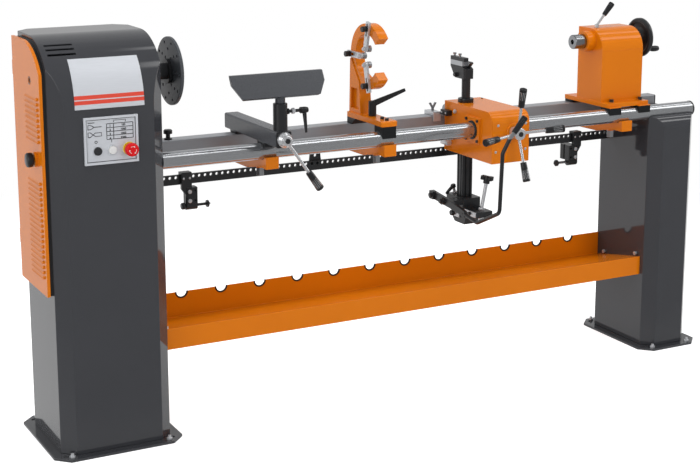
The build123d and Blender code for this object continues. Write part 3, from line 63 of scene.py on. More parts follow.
# Studio: a pale floor that keeps the machine's shadow, a white surround, and large soft lamps all round.
# The surround is white to the eye. Reflected, it dims behind the camera, and two strips cross it overhead.
def add_node(tree, kind, inputs=(), **settings):
    """Adds a shader node with its settings, and links or fills its inputs."""
    made = tree.nodes.new(kind)
    for name, value in settings.items():
        setattr(made, name, value)
    for name, value in dict(inputs).items():
        if isinstance(value, bpy.types.NodeSocket):
            tree.links.new(value, made.inputs[name])
        else:
            made.inputs[name].default_value = value
    return made


def linear(hex_colour):
    """An sRGB hex colour as linear red, green, blue and a full alpha."""
    parts = [int(hex_colour[i:i + 2], 16) / 255 for i in (1, 3, 5)]
    return [p / 12.92 if p <= 0.04045 else ((p + 0.055) / 1.055) ** 2.4 for p in parts] + [1.0]


white_light = linear("#FFFFFF")
right, back = (1, 0, 0), (0, 1, 0)
world = bpy.data.worlds.new("white_surround")
world.use_nodes = True
scene.world = world
tree = world.node_tree
tree.nodes.clear()
path = add_node(tree, "ShaderNodeLightPath").outputs
direction = add_node(tree, "ShaderNodeTexCoord").outputs["Generated"]
behind = add_node(tree, "ShaderNodeVectorMath", {0: direction, 1: back}, operation="DOT_PRODUCT")
dimming = {"Value": behind.outputs["Value"], "From Min": 0.1, "From Max": 0.75,
           "To Min": 0.34, "To Max": 0.58}
dimmed = add_node(tree, "ShaderNodeMapRange", dimming, interpolation_type="SMOOTHSTEP")
beside = add_node(tree, "ShaderNodeVectorMath", {0: direction, 1: right}, operation="DOT_PRODUCT")
ending = {"Value": beside.outputs["Value"], "From Min": 0.32, "From Max": 0.36}
strip_end = add_node(tree, "ShaderNodeMapRange", ending, interpolation_type="SMOOTHSTEP")
strip_fade = 0.06
reflected = dimmed.outputs["Result"]
for lean, width, brightness in ((60, 0.07, 3.2), (94, 0.03, 2.6)):
    strip_plane = (0.0, math.sin(math.radians(lean)), math.cos(math.radians(lean)))
    across = add_node(tree, "ShaderNodeVectorMath", {0: direction, 1: strip_plane}, operation="DOT_PRODUCT")
    apart = add_node(tree, "ShaderNodeMath", {0: across.outputs["Value"]}, operation="ABSOLUTE")
    fading = {"Value": apart.outputs[0], "From Min": width, "From Max": width + strip_fade,
              "To Min": brightness, "To Max": 0.0}
    strip = add_node(tree, "ShaderNodeMapRange", fading, interpolation_type="SMOOTHSTEP")
    ended = add_node(tree, "ShaderNodeMath", {0: strip.outputs["Result"], 1: strip_end.outputs["Result"]},
                     operation="MULTIPLY")
    crossed = add_node(tree, "ShaderNodeMath", {0: reflected, 1: ended.outputs[0]}, operation="ADD")
    reflected = crossed.outputs[0]
mirrored = add_node(tree, "ShaderNodeBackground", {"Color": white_light, "Strength": reflected})
lighting = add_node(tree, "ShaderNodeBackground", {"Color": linear("#F6F7FA"), "Strength": 0.6})
showing = add_node(tree, "ShaderNodeBackground", {"Color": white_light, "Strength": 1.0})
clear = add_node(tree, "ShaderNodeMath", {0: path["Is Camera Ray"], 1: path["Is Transmission Ray"]},
                 operation="MAXIMUM")
shone = add_node(tree, "ShaderNodeMixShader",
                 {0: path["Is Glossy Ray"], 1: lighting.outputs[0], 2: mirrored.outputs[0]})
surround = add_node(tree, "ShaderNodeMixShader",
                    {0: clear.outputs[0], 1: shone.outputs[0], 2: showing.outputs[0]})
add_node(tree, "ShaderNodeOutputWorld", {"Surface": surround.outputs[0]})

bpy.ops.object.select_all(action="DESELECT")
bpy.ops.mesh.primitive_plane_add(size=60, location=(1, 0, 0))
floor = bpy.context.object
floor.name = "studio_floor"
bpy.ops.object.transform_apply(location=True, rotation=True, scale=True)
pale = bpy.data.materials.new("white_studio_floor")
pale.use_nodes = True
tree = pale.node_tree
tree.nodes.clear()
path = add_node(tree, "ShaderNodeLightPath").outputs
place = add_node(tree, "ShaderNodeTexCoord").outputs["Object"]
depth = add_node(tree, "ShaderNodeSeparateXYZ", {"Vector": place}).outputs["Y"]
behind = add_node(tree, "ShaderNodeMapRange", {"Value": depth, "From Min": -0.6, "From Max": 0.3},
                  interpolation_type="SMOOTHSTEP")
seen = add_node(tree, "ShaderNodeMath", {0: path["Is Camera Ray"], 1: path["Is Transmission Ray"]},
                operation="MAXIMUM")
matt = add_node(tree, "ShaderNodeBsdfDiffuse", {"Color": linear("#E6E6E6")})
dark = add_node(tree, "ShaderNodeEmission", {"Color": white_light, "Strength": 0.36})
bright = add_node(tree, "ShaderNodeEmission", {"Color": white_light, "Strength": 0.85})
mirrored = add_node(tree, "ShaderNodeMixShader",
                    {0: behind.outputs["Result"], 1: dark.outputs[0], 2: bright.outputs[0]})
unseen = add_node(tree, "ShaderNodeMixShader",
                  {0: path["Is Glossy Ray"], 1: matt.outputs[0], 2: mirrored.outputs[0]})
lift = add_node(tree, "ShaderNodeEmission", {"Color": white_light, "Strength": 0.56})
lifted = add_node(tree, "ShaderNodeAddShader", {0: matt.outputs[0], 1: lift.outputs[0]})
machine_foot = (1.0, 0.0, 0.0)
away = add_node(tree, "ShaderNodeVectorMath", {0: place, 1: machine_foot}, operation="DISTANCE")
fading = {"Value": away.outputs["Value"], "From Min": 1.7, "From Max": 3.4}
fade = add_node(tree, "ShaderNodeMapRange", fading, interpolation_type="SMOOTHSTEP")
white = add_node(tree, "ShaderNodeEmission", {"Color": white_light, "Strength": 1.0})
faded = add_node(tree, "ShaderNodeMixShader",
                 {0: fade.outputs["Result"], 1: lifted.outputs[0], 2: white.outputs[0]})
ground = add_node(tree, "ShaderNodeMixShader",
                  {0: seen.outputs[0], 1: unseen.outputs[0], 2: faded.outputs[0]})
add_node(tree, "ShaderNodeOutputMaterial", {"Surface": ground.outputs[0]})
floor.data.materials.append(pale)

machine_middle = Vector((1.0, 0.0, 0.75))
for name, place, size, power, glints in (
    ("overhead_softbox", (0.9, -0.6, 4.2), (4.5, 2.5), 76, False),
    ("left_softbox", (-3.6, -1.8, 2.2), (2.0, 3.0), 55, True),
    ("front_softbox", (2.6, -5.4, 2.0), (3.0, 2.5), 82, False),
    ("rear_softbox", (1.0, 3.0, 2.6), (4.0, 2.0), 80, False),
):
    lamp = bpy.data.lights.new(name, "AREA")
    lamp.shape = "RECTANGLE"
    lamp.size, lamp.size_y = size
    lamp.energy = power
    softbox = bpy.data.objects.new(name, lamp)
    softbox.visible_glossy = glints
    softbox.location = place
    softbox.rotation_euler = (machine_middle - Vector(place)).to_track_quat("-Z", "Y").to_euler()
    scene.collection.objects.link(softbox)


# Headstock cabinet: 4 mm steel sheet, folded, welded and rolled at the shoulder, enamelled in anthracite.
# A black rubber seal is glued round the belt opening on its left side, where the door closes on it.
def new_finish(name):
    """A new material, with its node tree, its shader's inputs and the place on its piece."""
    made = bpy.data.materials.new(name)
    made.use_nodes = True
    tree = made.node_tree
    place = add_node(tree, "ShaderNodeTexCoord").outputs["Object"]
    return made, tree, tree.nodes["Principled BSDF"].inputs, place


def lay_on(tree, stains, tones, texture, glosses, strength, height_mm):
    """Gives a finish its two tones by the stains, and its uneven gloss and fine relief by the texture."""
    skin = tree.nodes["Principled BSDF"].inputs
    dull, bright = tones
    tone = add_node(tree, "ShaderNodeMix", {"Factor": stains, "A": dull, "B": bright}, data_type="RGBA")
    tree.links.new(tone.outputs["Result"], skin["Base Color"])
    smoothest, roughest = glosses
    haze = add_node(tree, "ShaderNodeMapRange", {"Value": texture, "To Min": smoothest, "To Max": roughest})
    tree.links.new(haze.outputs["Result"], skin["Roughness"])
    relief = add_node(tree, "ShaderNodeBump",
                      {"Height": texture, "Strength": strength, "Distance": height_mm / 1000})
    tree.links.new(relief.outputs["Normal"], skin["Normal"])


def enamel(name, colour, shade, gloss, shine):
    """Stoved enamel on steel sheet: a hard gloss coat, faintly cloudy, whose peel softens reflections."""
    cloud_mm, peel_mm, peel_height_mm = 180, 4, 0.3
    paint, tree, skin, place = new_finish(name)
    skin["IOR"].default_value = 1.5
    skin["Specular IOR Level"].default_value = shine
    skin["Coat Weight"].default_value = 0.15
    skin["Coat Roughness"].default_value = 0.05
    clouds = add_node(tree, "ShaderNodeTexNoise",
                      {"Vector": place, "Scale": 1000 / cloud_mm, "Detail": 3.0}).outputs["Fac"]
    peel = add_node(tree, "ShaderNodeTexNoise",
                    {"Vector": place, "Scale": 1000 / peel_mm, "Detail": 2.0}).outputs["Fac"]
    tones = linear(shade), linear(colour)
    lay_on(tree, clouds, tones, peel, (gloss - 0.004, gloss + 0.008), 0.025, peel_height_mm)
    return paint


def changed(finish, name, bounds, colour, roughness, metallic=0.0):
    """A copy of a finish that is another one beyond every (point, direction) of bounds, in millimetres."""
    both = finish.copy()
    both.name = name
    tree = both.node_tree
    skin = tree.nodes["Principled BSDF"].inputs
    place = add_node(tree, "ShaderNodeTexCoord").outputs["Object"]
    where = 1.0
    for point, way in bounds:
        metres = [p / 1000 for p in point]
        offset = add_node(tree, "ShaderNodeVectorMath", {0: place, 1: metres}, operation="SUBTRACT")
        along = add_node(tree, "ShaderNodeVectorMath", {0: offset.outputs[0], 1: way},
                         operation="DOT_PRODUCT")
        past = add_node(tree, "ShaderNodeMath", {0: along.outputs["Value"], 1: 0.0},
                        operation="GREATER_THAN")
        all_past = add_node(tree, "ShaderNodeMath", {0: where, 1: past.outputs[0]}, operation="MULTIPLY")
        where = all_past.outputs[0]
    for socket, value, kind in (("Base Color", linear(colour), "RGBA"), ("Roughness", roughness, "FLOAT"),
                                ("Metallic", metallic, "FLOAT")):
        before = skin[socket].default_value
        if skin[socket].is_linked:
            before = skin[socket].links[0].from_socket
        elif before == value:
            continue
        blend = add_node(tree, "ShaderNodeMix", {"Factor": where, "A": before, "B": value}, data_type=kind)
        tree.links.new(blend.outputs["Result"], skin[socket])
    return both


def break_edges(piece, edge, sharpness=35, whole_faces=True):
    """Joins a piece's facets and breaks its sharp edges by some millimetres, as filing and paint do.

    An edge is sharp from the given angle on. Faces stay in facets where whole ones would wind too much."""
    piece.modifiers.new("joined_facets", "WELD").merge_threshold = 1e-5
    if whole_faces:
        flats = piece.modifiers.new("whole_faces", "DECIMATE")
        flats.decimate_type = "DISSOLVE"
        flats.angle_limit = math.radians(1)
    broken = piece.modifiers.new("broken_edges", "BEVEL")
    broken.width = edge / 1000
    broken.segments = 2
    broken.limit_method = "ANGLE"
    broken.angle_limit = math.radians(sharpness)
    broken.use_clamp_overlap = False
    piece.modifiers.new("even_shading", "WEIGHTED_NORMAL")


def dress(name, finish, edge=1.2, **breaking):
    """Gives a CAD node its finish and its broken edges."""
    node[name].material_slots[0].material = finish
    break_edges(node[name], edge, **breaking)


# Nearly black, and so glossy that the pale floor and the surround mirror in it.
anthracite = enamel("gloss_anthracite_enamel", "#393A3E", "#353639", 0.07, 0.5)
left = (-1, 0, 0)
seal_face = [((-174.2, 0, 0), left)]
sealed = changed(anthracite, "anthracite_enamel_with_rubber_seal", seal_face, "#0D0D0E", 0.55)
dress("headstock_cabinet", sealed, 1.5)


# Floor plates: 8 mm steel with clipped corners, welded under the columns and enamelled with them.
# A zinc-plated levelling screw with its lock nut stands beside each open bolt hole.
def metal(name, colour, roughness, marks_mm, depth=0.05, bareness=1.0, spread=0.03):
    """Machined metal: its tool marks, of the given size along X, Y and Z, make the gloss uneven.

    A plated or printed metal is less bare than a ground one, and its skin scatters some light.
    The marks are drawn coarser than a real tool's, so that they show."""
    dulling, mark_height_mm = 0.86, 0.2
    bare, tree, skin, place = new_finish(name)
    skin["Metallic"].default_value = bareness
    marks_per_metre = [1000 / mark for mark in marks_mm]
    stretched = add_node(tree, "ShaderNodeVectorMath", {0: place, 1: marks_per_metre}, operation="MULTIPLY")
    marks = add_node(tree, "ShaderNodeTexNoise",
                     {"Vector": stretched.outputs[0], "Scale": 1.0, "Detail": 3.0}).outputs["Fac"]
    bright = linear(colour)
    dull = [c * dulling for c in bright[:3]] + [1.0]
    glosses = roughness - spread, roughness + spread
    lay_on(tree, marks, (dull, bright), marks, glosses, depth, mark_height_mm)
    return bare


# Bright, with the soft milky sheen of a plated skin.
zinc = metal("zinc_plated_steel", "#D3D5D8", 0.3, (3, 3, 3), bareness=0.65)
dress("headstock_base", anthracite)
dress("tail_base", anthracite)
dress("levelling_screws", zinc, 0.6)

# Name plate: a blank satin sheet of aluminium, bent round the shoulder and glued on, with no lettering.
# A plain red band is printed across its foot, parted by a fine unprinted line.
# The sheet is pale and silky, brushed lengthwise, so that nothing mirrors sharply in it.
satin_sheet = metal("satin_aluminium_sheet", "#D0D3D8", 0.42, (40, 1.5, 1.5), bareness=0.25)
up, down = (0, 0, 1), (0, 0, -1)
banded = satin_sheet
for name, foot, head in (
    ("aluminium_with_upper_band", 1078.5, 1090),
    ("aluminium_with_red_band", 1064, 1075.5),
):
    banded = changed(banded, name, [((0, 0, foot), up), ((0, 0, head), down)], "#D2402B", 0.4)
dress("name_plate", banded, 0.4)


# Control panel: an aluminium plate with a raised frame on the cabinet front, and a yellow collar under the
# emergency stop. Its marks are printed in black: a table of four speeds, two belt signs, and O and I.
def corners(name):
    """A CAD node's lowest and highest corners at rest, in millimetres."""
    return [corner * 1000 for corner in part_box(name)]


front = (0, -1, 0)
panel_face = -178.0
stop_low, stop_high = corners("emergency_stop")
collar_edges = [((stop_low.x, 0, 0), right), ((stop_high.x, 0, 0), left), ((0, 0, stop_low.z), up),
                ((0, 0, stop_high.z), down), ((0, panel_face - 0.4, 0), front)]
collared = changed(satin_sheet, "aluminium_with_yellow_collar", collar_edges, "#DDB912", 0.4)
dress("control_panel", collared, 0.6)


def plastic(name, colour, roughness, grain_mm=0.8, depth=0.08):
    """A moulded or painted skin: even in colour, with a fine grain that breaks the gloss.

    The grain is drawn coarser than a real mould's or brush's, so that it shows."""
    fading, spread, grain_height_mm = 0.85, 0.06, 0.2
    moulded, tree, skin, place = new_finish(name)
    skin["IOR"].default_value = 1.48
    grain = add_node(tree, "ShaderNodeTexNoise",
                     {"Vector": place, "Scale": 1000 / grain_mm, "Detail": 2.0}).outputs["Fac"]
    full = linear(colour)
    faint = [c * fading for c in full[:3]] + [1.0]
    glosses = roughness - spread, roughness + spread
    lay_on(tree, grain, (faint, full), grain, glosses, depth, grain_height_mm)
    return moulded


def fit(piece, finish, body):
    """Puts a modelled piece's place into its mesh, smooths its round faces, and fixes it to its body."""
    bpy.ops.object.select_all(action="DESELECT")
    piece.select_set(True)
    bpy.context.view_layer.objects.active = piece
    bpy.ops.object.transform_apply(location=True, rotation=True, scale=True)
    piece.data.materials.clear()
    piece.data.materials.append(finish)
    bpy.ops.object.shade_smooth_by_angle(angle=math.radians(40))
    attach(piece, body)
    return piece


def lines_piece(name, strokes, width):
    """Round strokes through lists of points, all in millimetres, drawn as one curve and made a mesh."""
    ink = bpy.data.curves.new(name, "CURVE")
    ink.dimensions = "3D"
    ink.bevel_depth = width / 2000
    ink.bevel_resolution = 1
    ink.use_fill_caps = True
    for points in strokes:
        stroke = ink.splines.new("POLY")
        stroke.points.add(len(points) - 1)
        for knot, point in zip(stroke.points, points):
            knot.co = [p / 1000 for p in point] + [1.0]
    piece = bpy.data.objects.new(name, ink)
    scene.collection.objects.link(piece)
    bpy.ops.object.select_all(action="DESELECT")
    piece.select_set(True)
    bpy.context.view_layer.objects.active = piece
    bpy.ops.object.convert(target="MESH")
    return piece


black_ink = plastic("black_printing_ink", "#161617", 0.5)
table_rows = [958, 969.5, 981, 992.5, 1004]
table_columns = [-12, 9, 68]
strokes = [[(table_columns[0], z), (table_columns[-1], z)] for z in table_rows]
strokes += [[(x, table_rows[0]), (x, table_rows[-1])] for x in table_columns]
table_bracket = [(10, 1007), (10, 1013), (46, 1013), (46, 1007)]
signs_heading = [(-68, 1010), (-48, 1010)]
open_belt = [(-68, 991), (-68, 1003), (-60, 1003), (-52, 999), (-52, 995), (-60, 991), (-68, 991)]
open_belt_stem = [(-52, 997), (-27, 997)]
crossed_belt = [(-68, 968), (-68, 982), (-62, 982), (-46, 970), (-28, 970), (-28, 980), (-46, 980),
                (-62, 968), (-68, 968)]
panel_border = [(-73, 894.5), (75, 894.5), (75, 1017.5), (-73, 1017.5), (-73, 894.5)]
strokes += [table_bracket, signs_heading, open_belt, open_belt_stem, crossed_belt, panel_border]
strokes = [[(x, panel_face, z) for x, z in stroke] for stroke in strokes]
panel_lines = lines_piece("panel_lines", strokes, 2.0)
fit(panel_lines, black_ink, "frame")

for name, words, size, x, z, spread in (
    ("panel_step_numbers", "1\n2\n3\n4", 8.6, -1.5, 995.2, 1.44),
    ("panel_speeds", "600\n1000\n1500\n2200", 8.6, 38.5, 995.2, 1.44),
    ("panel_off_mark", "O", 11.0, -45, 949, 1.0),
    ("panel_on_mark", "I", 11.0, 2, 949, 1.0),
):
    bpy.ops.object.select_all(action="DESELECT")
    text_place = (x / 1000, (panel_face - 0.05) / 1000, z / 1000)
    bpy.ops.object.text_add(location=text_place, rotation=(math.pi / 2, 0, 0))
    mark = bpy.context.object
    mark.name = name
    mark.data.body = words
    mark.data.size = size / 1000
    mark.data.align_x = "CENTER"
    mark.data.space_line = spread
    mark.data.extrude = 0.0001
    mark.data.offset = 0.0004
    bpy.ops.object.convert(target="MESH")
    fit(mark, black_ink, "frame")

# Push buttons: a dark stop button, a white start button, and a red mushroom head with white turning arrows.
# All three are moulded plastic in the panel's plated bezels.
black_plastic = plastic("black_moulded_plastic", "#1A1B1D", 0.32)
dress("stop_button", plastic("dark_grey_moulded_plastic", "#2A2B2D", 0.4), 0.6)
dress("start_button", plastic("white_moulded_plastic", "#D9D9D7", 0.38), 0.6)
red_plastic = plastic("red_moulded_plastic", "#D40C12", 0.34)
red_plastic.node_tree.nodes["Principled BSDF"].inputs["Specular IOR Level"].default_value = 0.28
dress("emergency_stop", red_plastic, 0.6)
stop_middle = (stop_low + stop_high) / 2


def on_button(radius, angle):
    """A point on the emergency stop's face, at a radius in millimetres and an angle from its right."""
    return stop_middle.x + radius * math.cos(angle), stop_low.y, stop_middle.z + radius * math.sin(angle)


arrow_radius, barb_half, barb_turn = 10.5, 2.2, 0.26
arrows = []
for turn in (90, 210, 330):
    sweep = [math.radians(turn + 38 - 8 * i) for i in range(10)]
    arrows.append([on_button(arrow_radius, t) for t in sweep])
    for reach in (arrow_radius - barb_half, arrow_radius + barb_half):
        arrows.append([on_button(arrow_radius, sweep[-1]), on_button(reach, sweep[-1] + barb_turn)])
turn_arrows = lines_piece("emergency_stop_arrows", arrows, 1.3)
fit(turn_arrows, plastic("white_printing_ink", "#E8E8E6", 0.5), "emergency_push")

# Belt door: a shallow tray of 2 mm sheet on two hinges, with two rows of pressed louvres, enamelled orange.
# Each louvre's front end is drawn to a small round. A key lock sits above, and a knob on a boss shuts it.
# The orange is warm and full, its gloss softer than the columns', so that the colour stays deep.
orange = enamel("gloss_orange_enamel", "#D67509", "#CE6E07", 0.18, 0.2)
dress("belt_door", orange, 0.4)
dress("door_knob", black_plastic, 0.6)
patterns = []


def turned(name, steps, sides=32):
    """A pattern turned about Z: a disc, or a ring, drawn through (height, radius) steps in millimetres."""
    ring = steps[0] == steps[-1]
    height, radius = steps[0]
    bpy.ops.object.select_all(action="DESELECT")
    bpy.ops.mesh.primitive_circle_add(vertices=sides, radius=radius / 1000, location=(0, 0, height / 1000),
                                      fill_type="NOTHING" if ring else "NGON")
    pattern = bpy.context.object
    pattern.name = name
    bpy.ops.object.mode_set(mode="EDIT")
    for next_height, next_radius in steps[1:]:
        rise = (0, 0, (next_height - height) / 1000)
        bpy.ops.mesh.extrude_region_move(TRANSFORM_OT_translate={"value": rise})
        grow = next_radius / radius
        bpy.ops.transform.resize(value=(grow, grow, 1), center_override=(0, 0, next_height / 1000))
        height, radius = next_height, next_radius
    bpy.ops.mesh.select_all(action="SELECT")
    bpy.ops.mesh.remove_doubles(threshold=1e-6)
    bpy.ops.mesh.normals_make_consistent(inside=False)
    bpy.ops.object.mode_set(mode="OBJECT")
    bpy.ops.object.transform_apply(location=True, rotation=True, scale=True)
    patterns.append(pattern)
    return pattern


def set_out(pattern, name, places, finish, body):
    """Copies a pattern to each (place, direction), its Z along the direction, and joins the copies."""
    bpy.ops.object.select_all(action="DESELECT")
    for place, direction in places:
        copy = bpy.data.objects.new(name, pattern.data.copy())
        scene.collection.objects.link(copy)
        copy.location = [p / 1000 for p in place]
        copy.rotation_euler = Vector(direction).to_track_quat("Z", "Y").to_euler()
        copy.select_set(True)
    bpy.context.view_layer.objects.active = copy
    if len(places) > 1:
        bpy.ops.object.join()
    return fit(bpy.context.object, finish, body)


louvre_pitch = 15.6
louvre_heights = [1079 - louvre_pitch * i for i in range(9)] + [831 - louvre_pitch * i for i in range(19)]
louvre_end = turned("louvre_end", [(-1, 5.4), (1.5, 5.2), (3.4, 4.2), (4.8, 2.4), (5.2, 0.4)], 12)
louvre_places = [((-194, -110, z), left) for z in louvre_heights]
set_out(louvre_end, "louvre_ends", louvre_places, orange, "door")
key_lock = turned("key_lock", [(-6, 12.5), (0.4, 12.5), (0.9, 11.7), (0.9, 9.5), (-1.5, 8.8), (-1.5, 0.3)])
set_out(key_lock, "door_key_lock", [((-193.6, -40, 1125), left)], black_plastic, "door")
knob_low, knob_high = corners("door_knob")
knob_face = (knob_low.x, (knob_low.y + knob_high.y) / 2, (knob_low.z + knob_high.z) / 2)
knob_disc = turned("knob_disc", [(-1, 13.5), (0.5, 13.5), (0.9, 13), (0.9, 0.3)])
grey_plastic = plastic("grey_moulded_plastic", "#4A4C50", 0.35)
set_out(knob_disc, "door_knob_disc", [(knob_face, left)], grey_plastic, "door_latch")

# Drive inside the headstock: motor, stepped pulleys of cast aluminium and a flat rubber belt.
# The spindle's black hub comes out at the right and carries the drilled faceplate, faced on a lathe.
# Blackened steel is nearly black, with a soft sheen. The motor's paint is greyer.
black_iron = plastic("black_oxide_steel", "#212224", 0.3, 1.2, 0.05)
grey_iron = plastic("dark_grey_painted_iron", "#3E4044", 0.28, 1.2, 0.05)
dress("drive_motor", grey_iron, 0.8)
dress("motor_pulley", metal("cast_aluminium", "#A3A5A8", 0.4, (0.8, 4, 4)), 0.6)
dress("drive_belt", plastic("black_belt_rubber", "#121213", 0.6), 0.6)
dress("spindle", black_iron, 0.6)
faceplate_low, faceplate_high = corners("faceplate")
spindle_axis = (faceplate_low + faceplate_high) / 2
# The turned face is dark and dull, with faint rings of light. Real cuts are closer than these, which show.
ring_spacing_mm = 6.28
faced = plastic("faced_grey_steel", "#43464A", 0.34, 1.2, 0.03)
tree = faced.node_tree
place = add_node(tree, "ShaderNodeTexCoord").outputs["Object"]
to_axis = (0, -spindle_axis.y / 1000, -spindle_axis.z / 1000)
from_axis = add_node(tree, "ShaderNodeMapping", {"Vector": place, "Location": to_axis})
rings_per_metre = 1000 / ring_spacing_mm
wave_scale = rings_per_metre * math.pi / 10
rings = add_node(tree, "ShaderNodeTexWave",
                 {"Vector": from_axis.outputs[0], "Scale": wave_scale, "Distortion": 0.4},
                 wave_type="RINGS", rings_direction="X")
cut = add_node(tree, "ShaderNodeBump",
               {"Height": rings.outputs["Fac"], "Strength": 0.05, "Distance": 0.0002})
tree.links.new(cut.outputs["Normal"], tree.nodes["Principled BSDF"].inputs["Normal"])
dress("faceplate", faced, 0.8)

# Tail column: the same folded and welded sheet as the headstock, bent twice at its shoulder.
# It carries the right ends of the bed, and the tray is screwed to its left face.
dress("tail_column", anthracite, 2.0)

# Bed: a ground steel tube in front and a bright drawn rectangular rail behind, both 4 mm in the wall.
# A black cap closes the tube's end, and a black knob on a post stops the rail's units at the left.
# Marks as long as the bed draw the tube's highlights out in even lines. The rail is greyer and duller.
ground_tube = metal("ground_steel_tube", "#BFC1C4", 0.19, (1600, 9, 9), 0.002, 0.92, 0.006)
drawn_rail = metal("bright_drawn_steel", "#9FA1A5", 0.32, (1200, 9, 9), 0.003, 0.5, 0.006)
dress("front_bed_tube", ground_tube, 0.6)
dress("rear_bed_rail", drawn_rail, 1.5)
dress("rail_fittings", black_plastic, 0.6)

# Tool tray: folded 3 mm sheet between the columns, enamelled orange, with black trims on its notches.
# Socket screws above its floor hold its right end to the tail column.
dress("tool_tray", orange, 1.0)
dress("notch_trims", black_plastic, 0.4)
notch_radius, first_notch, notch_pitch = 20, 326.5, 139.65
notch_y, notch_z = 132.5, 372
half_round = [math.radians(180 + 12 * i) for i in range(16)]
edgings = []
for i in range(12):
    notch_x = first_notch + notch_pitch * i
    edgings.append([(notch_x + notch_radius * math.cos(t), notch_y, notch_z + notch_radius * math.sin(t))
                    for t in half_round])
notch_edging = lines_piece("notch_edging", edgings, 6.4)
fit(notch_edging, black_plastic, "frame")


def pick(pattern, chosen):
    """Opens a pattern for editing, and selects the points chosen by their radius, height and turn."""
    bpy.ops.object.mode_set(mode="EDIT")
    bpy.ops.mesh.select_all(action="DESELECT")
    mesh = bmesh.from_edit_mesh(pattern.data)
    for point in mesh.verts:
        turn = math.degrees(math.atan2(point.co.y, point.co.x))
        point.select = chosen(math.hypot(point.co.x, point.co.y) * 1000, point.co.z * 1000, turn)
    mesh.select_flush_mode()
    bmesh.update_edit_mesh(pattern.data)


def socket_screw(radius, height):
    """A socket screw's head, its six-sided socket sunk in the top."""
    socket = radius * 0.58
    steps = [(-1, radius), (height - 0.6, radius), (height, radius - 0.6), (height, socket)]
    screw = turned("socket_screw", steps, 24)

    def between_corners(out, along, turn):
        return out < socket * 1.03 and round(turn / 15) % 4 != 0

    pick(screw, between_corners)
    bpy.ops.mesh.dissolve_verts()
    mesh = bmesh.from_edit_mesh(screw.data)
    for face in mesh.faces:
        face.select_set(len(face.verts) == 6 and face.calc_center_median().z > (height - 0.1) / 1000)
    bmesh.update_edit_mesh(screw.data)
    bpy.ops.mesh.extrude_region_move(TRANSFORM_OT_translate={"value": (0, 0, -height * 0.5 / 1000)})
    bpy.ops.object.mode_set(mode="OBJECT")
    return screw


m8_screw = socket_screw(6.5, 8)
tray_screws = [((2003, 89, 307), left), ((2003, -94, 343), left), ((182, -107, 334.6), (0, 0.188, 0.982))]
set_out(m8_screw, "tray_screws", tray_screws, zinc, "frame")

# Pattern holder: a perforated bar of black flat steel under the rail, and two brackets that hook over it.
# Each hook has two small screws and each block two slotted ones. Between them the centres hold a pattern.
dress("template_bar", black_iron, 0.4)
dress("left_pattern_bracket", black_iron, 0.8)
dress("right_pattern_bracket", black_iron, 0.8, sharpness=50)
rod_end = [((1771, 0, 0), right)]
bright_rod = changed(black_iron, "black_steel_with_bright_rod", rod_end, "#9A9CA0", 0.3, 1.0)
dress("pattern_centre", bright_rod, 0.5)


def slotted_screw(radius, height):
    """A cheese-head screw with a slot sawn across its domed top."""
    screw = turned("slotted_screw", [(-1, radius), (height * 0.6, radius), (height * 0.9, radius * 0.8),
                                     (height, radius * 0.45), (height, 0.3)], 20)
    bpy.ops.mesh.primitive_cube_add(size=1, location=(0, 0, height / 1000))
    saw = bpy.context.object
    saw.scale = (radius * 3 / 1000, radius * 0.28 / 1000, height * 0.8 / 1000)
    slot = screw.modifiers.new("sawn_slot", "BOOLEAN")
    slot.operation = "DIFFERENCE"
    slot.object = saw
    bpy.ops.object.select_all(action="DESELECT")
    screw.select_set(True)
    bpy.context.view_layer.objects.active = screw
    bpy.ops.object.modifier_apply(modifier="sawn_slot")
    bpy.data.objects.remove(saw)
    return screw


small_screw = slotted_screw(3.6, 2.2)
block_screw = slotted_screw(6.6, 4)
for side, hook_screws, block_x in (("left", (319, 340), 338), ("right", (1837, 1858), 1839)):
    body = side + "_pattern_holder"
    hook_places = [((x, 70, 760), front) for x in hook_screws]
    set_out(small_screw, side + "_hook_screws", hook_places, zinc, body)
    block_places = [((block_x, 68, z), front) for z in (716, 686)]
    set_out(block_screw, side + "_block_screws", block_places, zinc, body)


# Tool rest: a square tube across the bed with a black cap and front plate, a sleeve, a post and a blade.
# A cam lever with a chromed hub and a fluted grip draws the orange clamp up by its bolt.
def clamp_finish(name):
    """The orange of a clamp bar, with the bright steel of its draw bolt above and below the bar."""
    bolt_half, bolt_front, bolt_back = 16, -72, -38
    bar_foot, bar_top = 800, 806.2
    bolt_steel = "#B4B6B9"
    low, high = corners(name)
    middle = (low.x + high.x) / 2
    bolt = [((middle - bolt_half, 0, 0), right), ((middle + bolt_half, 0, 0), left),
            ((0, bolt_front, 0), back), ((0, bolt_back, 0), front)]
    under_bar = bolt + [((0, 0, bar_foot), down)]
    over_bar = bolt + [((0, 0, bar_top), up)]
    below = changed(orange, name + "_enamel_and_nut", under_bar, bolt_steel, 0.3, 1.0)
    return changed(below, name + "_enamel_and_bolt", over_bar, bolt_steel, 0.3, 1.0)


banjo_finish = plastic("mid_grey_painted_tube", "#4A4C50", 0.28, 1.2, 0.05)
for name, bound, colour, roughness in (
    ("painted_tube_with_rear_cap", ((0, 160, 0), back), "#151617", 0.45),
    ("painted_tube_with_front_plate", ((0, -229, 0), front), "#1A1B1D", 0.4),
    ("painted_tube_with_sleeve", ((0, 0, 943.3), up), "#1E1F21", 0.38),
    ("painted_tube_with_shoes", ((0, 0, 892.8), down), "#17181A", 0.45),
):
    banjo_finish = changed(banjo_finish, name, [bound], colour, roughness)
dress("banjo", banjo_finish, 1.5)
dress("rest_clamp_bar", clamp_finish("rest_clamp_bar"), 1.0)
dress("rest_post", black_iron, 0.6)
bpy.ops.object.select_all(action="DESELECT")
blade = bpy.data.objects.new("tool_rest_blade", node["tool_rest"].data.copy())
scene.collection.objects.link(blade)
blade.select_set(True)
bpy.context.view_layer.objects.active = blade
